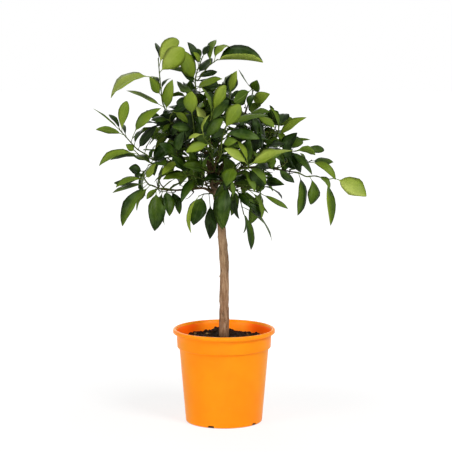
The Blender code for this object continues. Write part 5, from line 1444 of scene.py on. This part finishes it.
def bent(flat, shape, manner):
    """Points of the flat leaf laid along the leaf's own curve, folded, rippled and twisted."""
    share = flat[:, 1] / LEAF_LENGTH
    across = flat[:, 0] / (LEAF_WIDTH / 2)
    base, control, tip = (np.array(point) for point in (shape.base, shape.control, shape.tip))
    first = SEEN_ROWS[0]
    t = np.interp(share, (first, PETIOLE, 1.0), (first, manner["stalk"], 1.0))[:, None]
    centre = base * (1 - t) ** 2 + control * (2 * t * (1 - t)) + tip * t ** 2
    centre = centre - np.array(shape.upper) * (manner["nod"] * shape.length * np.clip(t, 0, 1) ** 4)
    along = (control - base) * (1 - t) + (tip - control) * t
    middle, end = np.array(manner["sway"]) * CM
    centre = centre + middle * (4 * t * (1 - t)) + end * t ** 2
    along = along + middle * (2 - 4 * t) + end * t
    along /= np.linalg.norm(along, axis=1)[:, None]
    side = np.broadcast_to(-np.array(shape.side), along.shape)
    up = np.cross(side, along)
    twist = manner["roll"] + manner["twist"] * np.clip((t - PETIOLE) / (1 - PETIOLE), 0.0, 1.0)
    side, up = side * np.cos(twist) + up * np.sin(twist), up * np.cos(twist) - side * np.sin(twist)
    blade = np.clip((share - BLADE_FROM) / BLADE_SETS_IN, 0.0, 1.0)
    half = LEAF_WIDTH / 2 * (1 - blade) + shape.width / 2 * manner["wide"] * blade
    reach = np.abs(across)
    fold = manner["fold"] * blade
    wave = np.sin(math.tau * (manner["waves"] * share + manner["phase"] + SIDES_APART * np.sign(across)))
    rise = half * (np.sin(fold) * reach - manner["curl"] * reach ** 2 * blade
                   + manner["ripple"] * wave * reach ** 2 * blade)
    return (centre + side * (across * half * np.cos(fold))[:, None]
            + up * (rise + flat[:, 2])[:, None])


def leaf_manner(chance, spec):
    """How one leaf departs from the flat one: by what its spec says, and else by chance."""
    return {"fold": math.radians(spec.get("fold") or chance.uniform(8.0, 31.0)),
            "twist": math.radians(spec.get("twist") or chance.uniform(-24.0, 24.0)),
            "roll": math.radians(spec.get("roll", 0.0)), "wide": spec.get("wide", 1.0),
            "stalk": spec.get("stalk", PETIOLE), "sway": swayed(*spec.get("sway", ())),
            "waves": chance.uniform(1.2, 2.6), "phase": chance.random(),
            "ripple": spec.get("ripple") or chance.uniform(0.04, 0.16), "curl": chance.uniform(0.0, 0.32),
            "nod": chance.uniform(-0.02, 0.07)}


def bend_leaf(blank, shape, spec, chance):
    """A copy of the flat leaf, with a mesh of its own, bent to the shape."""
    made = show(bpy.data.objects.new("blade", blank.data.copy()))
    flat = points_of(made.data)
    set_points(made.data, bent(flat, shape, leaf_manner(chance, spec)))
    tone = min(max(spec["tone"] + chance.uniform(-0.06, 0.06), 0.0), 1.0)
    drift = chance.uniform(-0.20, 0.20) * (flat[:, 1] / LEAF_LENGTH - 0.55)
    # painted shade: one half of the blade gets a lighter tone and the other a darker one, as light falls on
    # a folded leaf from one side
    halves = spec.get("halves", chance.uniform(-0.07, 0.07)) * np.sign(flat[:, 0])
    set_tone(made.data, np.clip(tone + drift + halves, 0.0, 1.0), spec.get("below", tone))
    return made


def leaf_base(centre, low, high, tip):
    """Where on the twig a leaf starts: the flat side, between two rings, that looks most at its tip."""
    count = len(low)
    middles = [(low[k] + low[(k + 1) % count] + high[k] + high[(k + 1) % count]) / 4
               for k in range(count)]
    return max(middles, key=lambda middle: (middle - centre).normalized().dot((tip - centre).normalized()))


def twig_frame(route, places):
    """Shares of the length at which the twig has a ring: two round each leaf's node."""
    half = NODE_HALF / route.length
    shares = [0.0, SPUR / 2 / route.length]
    for place in places:
        shares += [place - half, place + half]
    return shares + [1.0]


def build_twig(parent, share, route, places, green, tone):
    """A leafy twig, thicker at each node."""
    line, shares = rooted(parent, share, route)
    radii = []
    for part in shares:
        radius = route.radius(part)
        knots = sum(math.exp(-((part - place) * route.length / KNOT_HALF) ** 2) for place in places)
        radii.append(radius * (1.0 + KNOT * min(knots, KNOT_LIMIT))
                     + flared(parent, share, TWIG_COLLARS, radius, part * route.length, TWIG_FLARE))
    twig = tube("twig", line, radii, 2)
    set_tone(twig.data, tone)
    twig.data.materials.append(green)
    twig.data.shade_smooth()
    return twig


def sprig_parts(job, routes, others, own_twig, blanks, green, chance):
    """Twig and leaves of one leafy shoot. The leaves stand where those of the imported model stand."""
    name, parent, share, leaves = job
    route = routes[name]
    places = node_places(route, leaves)
    frame_rings = rings(route, twig_frame(route, places), TWIG_SIDES, route.radius)
    tone = TWIG_TONE[0] + TWIG_TONE[1] * max(spec["tone"] for spec in leaves)
    parts = [build_twig(routes[parent], share, route, places, green, tone)]
    for index, (place, spec) in enumerate(zip(places, leaves)):
        base = leaf_base(route.at(place)[0], frame_rings[2 + 2 * index], frame_rings[3 + 2 * index],
                         spec["tip"])
        shape = settle(base, spec, [other for other in others if other is not own_twig])
        if shape is None:
            continue
        others.append(shape.tree())
        parts.append(bend_leaf(blanks[spec.get("blunt", "plain")], shape, spec, chance))
    return parts


def all_routes():
    """Every branch's route, and each shoot with its leaves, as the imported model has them."""
    trunk = Route([Vector((x, y, z)) * CM for x, y, z, _ in TRUNK_LINE],
                  trunk_radii([radius for _, _, _, radius in TRUNK_LINE]))
    routes = {"trunk": trunk}
    for name, parent, share, foot, end, points in LIMBS:
        routes[name] = grown_from(routes[parent], share, [placed(*point) for point in points],
                                  (foot / 1000, end / 1000))
    jobs = []
    for name, parent, share, points, leaves in SHOOTS:
        routes[name] = grown_from(routes[parent], share, [placed(*point) for point in points], TWIG_RADII)
        jobs.append((name, parent, share, [dict(each, tip=placed(*each["tip"])) for each in leaves]))
    for number, (name, parent, share, end, count) in enumerate(RULED_SHOOTS):
        foot, _ = routes[parent].at(share)
        goal = placed(*end)
        points = [foot.lerp(goal, 0.5) + Vector((0.0, 0.0, RULED_TWIG_RISE)), goal]
        routes[name] = grown_from(routes[parent], share, points, TWIG_RADII)
        jobs.append((name, parent, share, ruled_leaves(routes[name], count, float(number), RULED_TONES)))
    return routes, jobs


def filler_jobs(row, limb, routes):
    """Short dark sprigs close to a limb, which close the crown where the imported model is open."""
    jobs = []
    for step, share in enumerate(FILLER_SHARES):
        foot, along, out = turned_out(routes[limb], share, GOLDEN_TURN * (3 * row + step))
        way = (out + along * FILLER_LEAN + Vector((0.0, 0.0, FILLER_LIFT))).normalized()
        name = f"filler_{limb}_{step}"
        points = [foot + way * FILLER_FIRST, foot + way * FILLER_TWIG + Vector((0.0, 0.0, FILLER_RISE))]
        routes[name] = grown_from(routes[limb], share, points, TWIG_RADII)
        leaves = [spec for spec in ruled_leaves(routes[name], FILLER_LEAVES, float(row + step), FILLER_TONES)
                  if in_the_dense_part(spec["tip"])]
        if leaves:
            jobs.append((name, limb, share, leaves))
    return jobs


def in_the_dense_part(place):
    """Whether a point lies, as the front view shows it, well inside the crown."""
    seen = EYE + (place - EYE) * (-EYE.y / (place.y - EYE.y))
    return math.hypot((seen.x - DENSE_CENTRE.x) / DENSE_REACH.x,
                      (seen.z - DENSE_CENTRE.z) / DENSE_REACH.z) < 1.0


def bare_twigs(limb, green):
    """Thin leafless twigs that fork off a limb, dark as the shade inside the crown."""
    made = []
    for step, share in enumerate(evenly(*BARE_SPAN, BARE_TWIGS)):
        foot, along, out = turned_out(limb, share, GOLDEN_TURN * (step + 0.5))
        way = (out * BARE_OUT + along * BARE_LEAN).normalized()
        reach = BARE_REACH * (0.6 + 0.4 * math.cos(2.7 * step))
        points = [foot + way * reach * 0.5, foot + way * reach + Vector((0.0, 0.0, BARE_RISE)) * reach]
        route = grown_from(limb, share, points, BARE_RADII)
        made.append(build_twig(limb, share, route, [0.5], green, 0.0))
    return made


def build_tree():
    routes, jobs = all_routes()
    bark = bark_finish()
    build_trunk(routes["trunk"], bark)
    for name, parent, share, _, _, _ in LIMBS:
        build_limb(name, routes[parent], share, routes[name], bark)
    upper, underside, green = leaf_upper_finish(), leaf_underside_finish(), twig_finish()
    blanks = {False: model_leaf("leaf_pointed", SEEN_ROWS, False, upper, underside),
              True: model_leaf("leaf_round", SEEN_ROWS, True, upper, underside),
              "plain": model_leaf("leaf_plain", INNER_ROWS, False, upper, underside)}
    wood = {name: strip_tree(rings(route, evenly(0.0, 1.0, WOOD_RINGS), WOOD_SIDES,
                                   lambda share, route=route: route.radius(share) + CLEARANCE))
            for name, route in routes.items()}
    others = list(wood.values())
    chance = random.Random(LEAF_SEED)
    for job in jobs:
        parts = sprig_parts(job, routes, others, wood[job[0]], blanks, green, chance)
        finished(join(parts), job[0].replace("shoot", "sprig"), job[0])
    for row, (limb, *_) in enumerate(LIMBS):
        parts = []
        for job in filler_jobs(row, limb, routes):
            parts += sprig_parts(job, routes, others, None, blanks, green, chance)
        parts += bare_twigs(routes[limb], green)
        finished(join(parts), limb.replace("limb", "inner_leaves"))
    for blank in blanks.values():
        bpy.data.objects.remove(blank)


# ---------------------------------------------------------------- stage

def looked_at(finish):
    """1 where the eye looks, straight or by way of something shiny or clear, and 0 where light falls."""
    mask = finish.node("LightPath", output="Is Camera Ray")
    for ray in ("Is Glossy Ray", "Is Transmission Ray"):
        mask = finish.node("Math", {"operation": "MAXIMUM"}, (mask, finish.node("LightPath", output=ray)))
    return mask


def grey(level):
    return level, level, level, 1.0


def build_floor():
    """White ground that shows only the soft shadow of the pot."""
    floor = primitive(bpy.ops.mesh.primitive_plane_add, "ground", size=GROUND_SIZE,
                      location=(0.0, 0.0, -GROUND_SINK))
    finish = Finish("ground_white", Roughness=0.9, Specular_IOR_Level=0.0, Emission_Strength=1.0)
    eye = looked_at(finish)
    away = finish.distance(finish.place())
    glow = finish.blend(away.step(0.25, 0.9), grey(0.78), grey(1.0))
    glow = finish.blend(away.step(FOOT_RADIUS - 0.004, FOOT_RADIUS + 0.001), grey(0.0), glow)
    finish.looks(Base_Color=finish.blend(eye, grey(0.80), grey(0.26)),
                 Emission_Color=finish.blend(eye, grey(0.0), glow))
    floor.data.materials.append(finish.material)


def light(name, location, height, size, power, tint=(1.0, 1.0, 1.0)):
    """A round lamp that looks at the tree's middle line at this height."""
    lamp = bpy.data.lights.new(name, "AREA")
    lamp.shape = "DISK"
    lamp.size = size
    lamp.energy = power
    lamp.color = tint
    made = show(bpy.data.objects.new(name, lamp))
    made.location = location
    made.rotation_euler = (Vector((0.0, 0.0, height)) - Vector(location)).to_track_quat("-Z", "Y").to_euler()


class Surroundings(Finish):
    """The world's own nodes: a white backdrop for the eye, a plain level of light for the rest."""

    def __init__(self, level):
        world = bpy.data.worlds.new("studio")
        world.use_nodes = True
        bpy.context.scene.world = world
        self.material = world
        self.tree = world.node_tree
        self.shader = self.tree.nodes["Background"]
        self.looks(Color=grey(1.0), Strength=looked_at(self) * (1.0 - level) + level)


def build_stage():
    build_floor()
    Surroundings(ROOM_LIGHT)
    light("key", (1.45, -1.9, 2.2), 0.40, 1.1, 54.0, (1.0, 0.985, 0.96))
    light("fill", (-1.9, -1.6, 1.1), 0.35, 1.2, 24.0, (1.0, 0.94, 0.87))
    light("bounce", (0.0, -1.3, 0.04), 0.45, 0.9, 5.0)
    light("back", (-0.5, 2.3, 1.3), 0.35, 1.6, 13.0)
    camera = bpy.data.cameras.new("camera")
    camera.lens = LENS
    camera.sensor_width = SENSOR_WIDTH
    eye = show(bpy.data.objects.new("camera", camera))
    eye.location = (CAMERA_ASIDE, EYE.y, EYE.z)
    eye.rotation_euler = (math.radians(90.0 - CAMERA_TILT), 0.0, 0.0)
    scene = bpy.context.scene
    scene.camera = eye
    scene.view_settings.view_transform = "Standard"


build_pot()
build_mix()
build_tree()
build_stage()
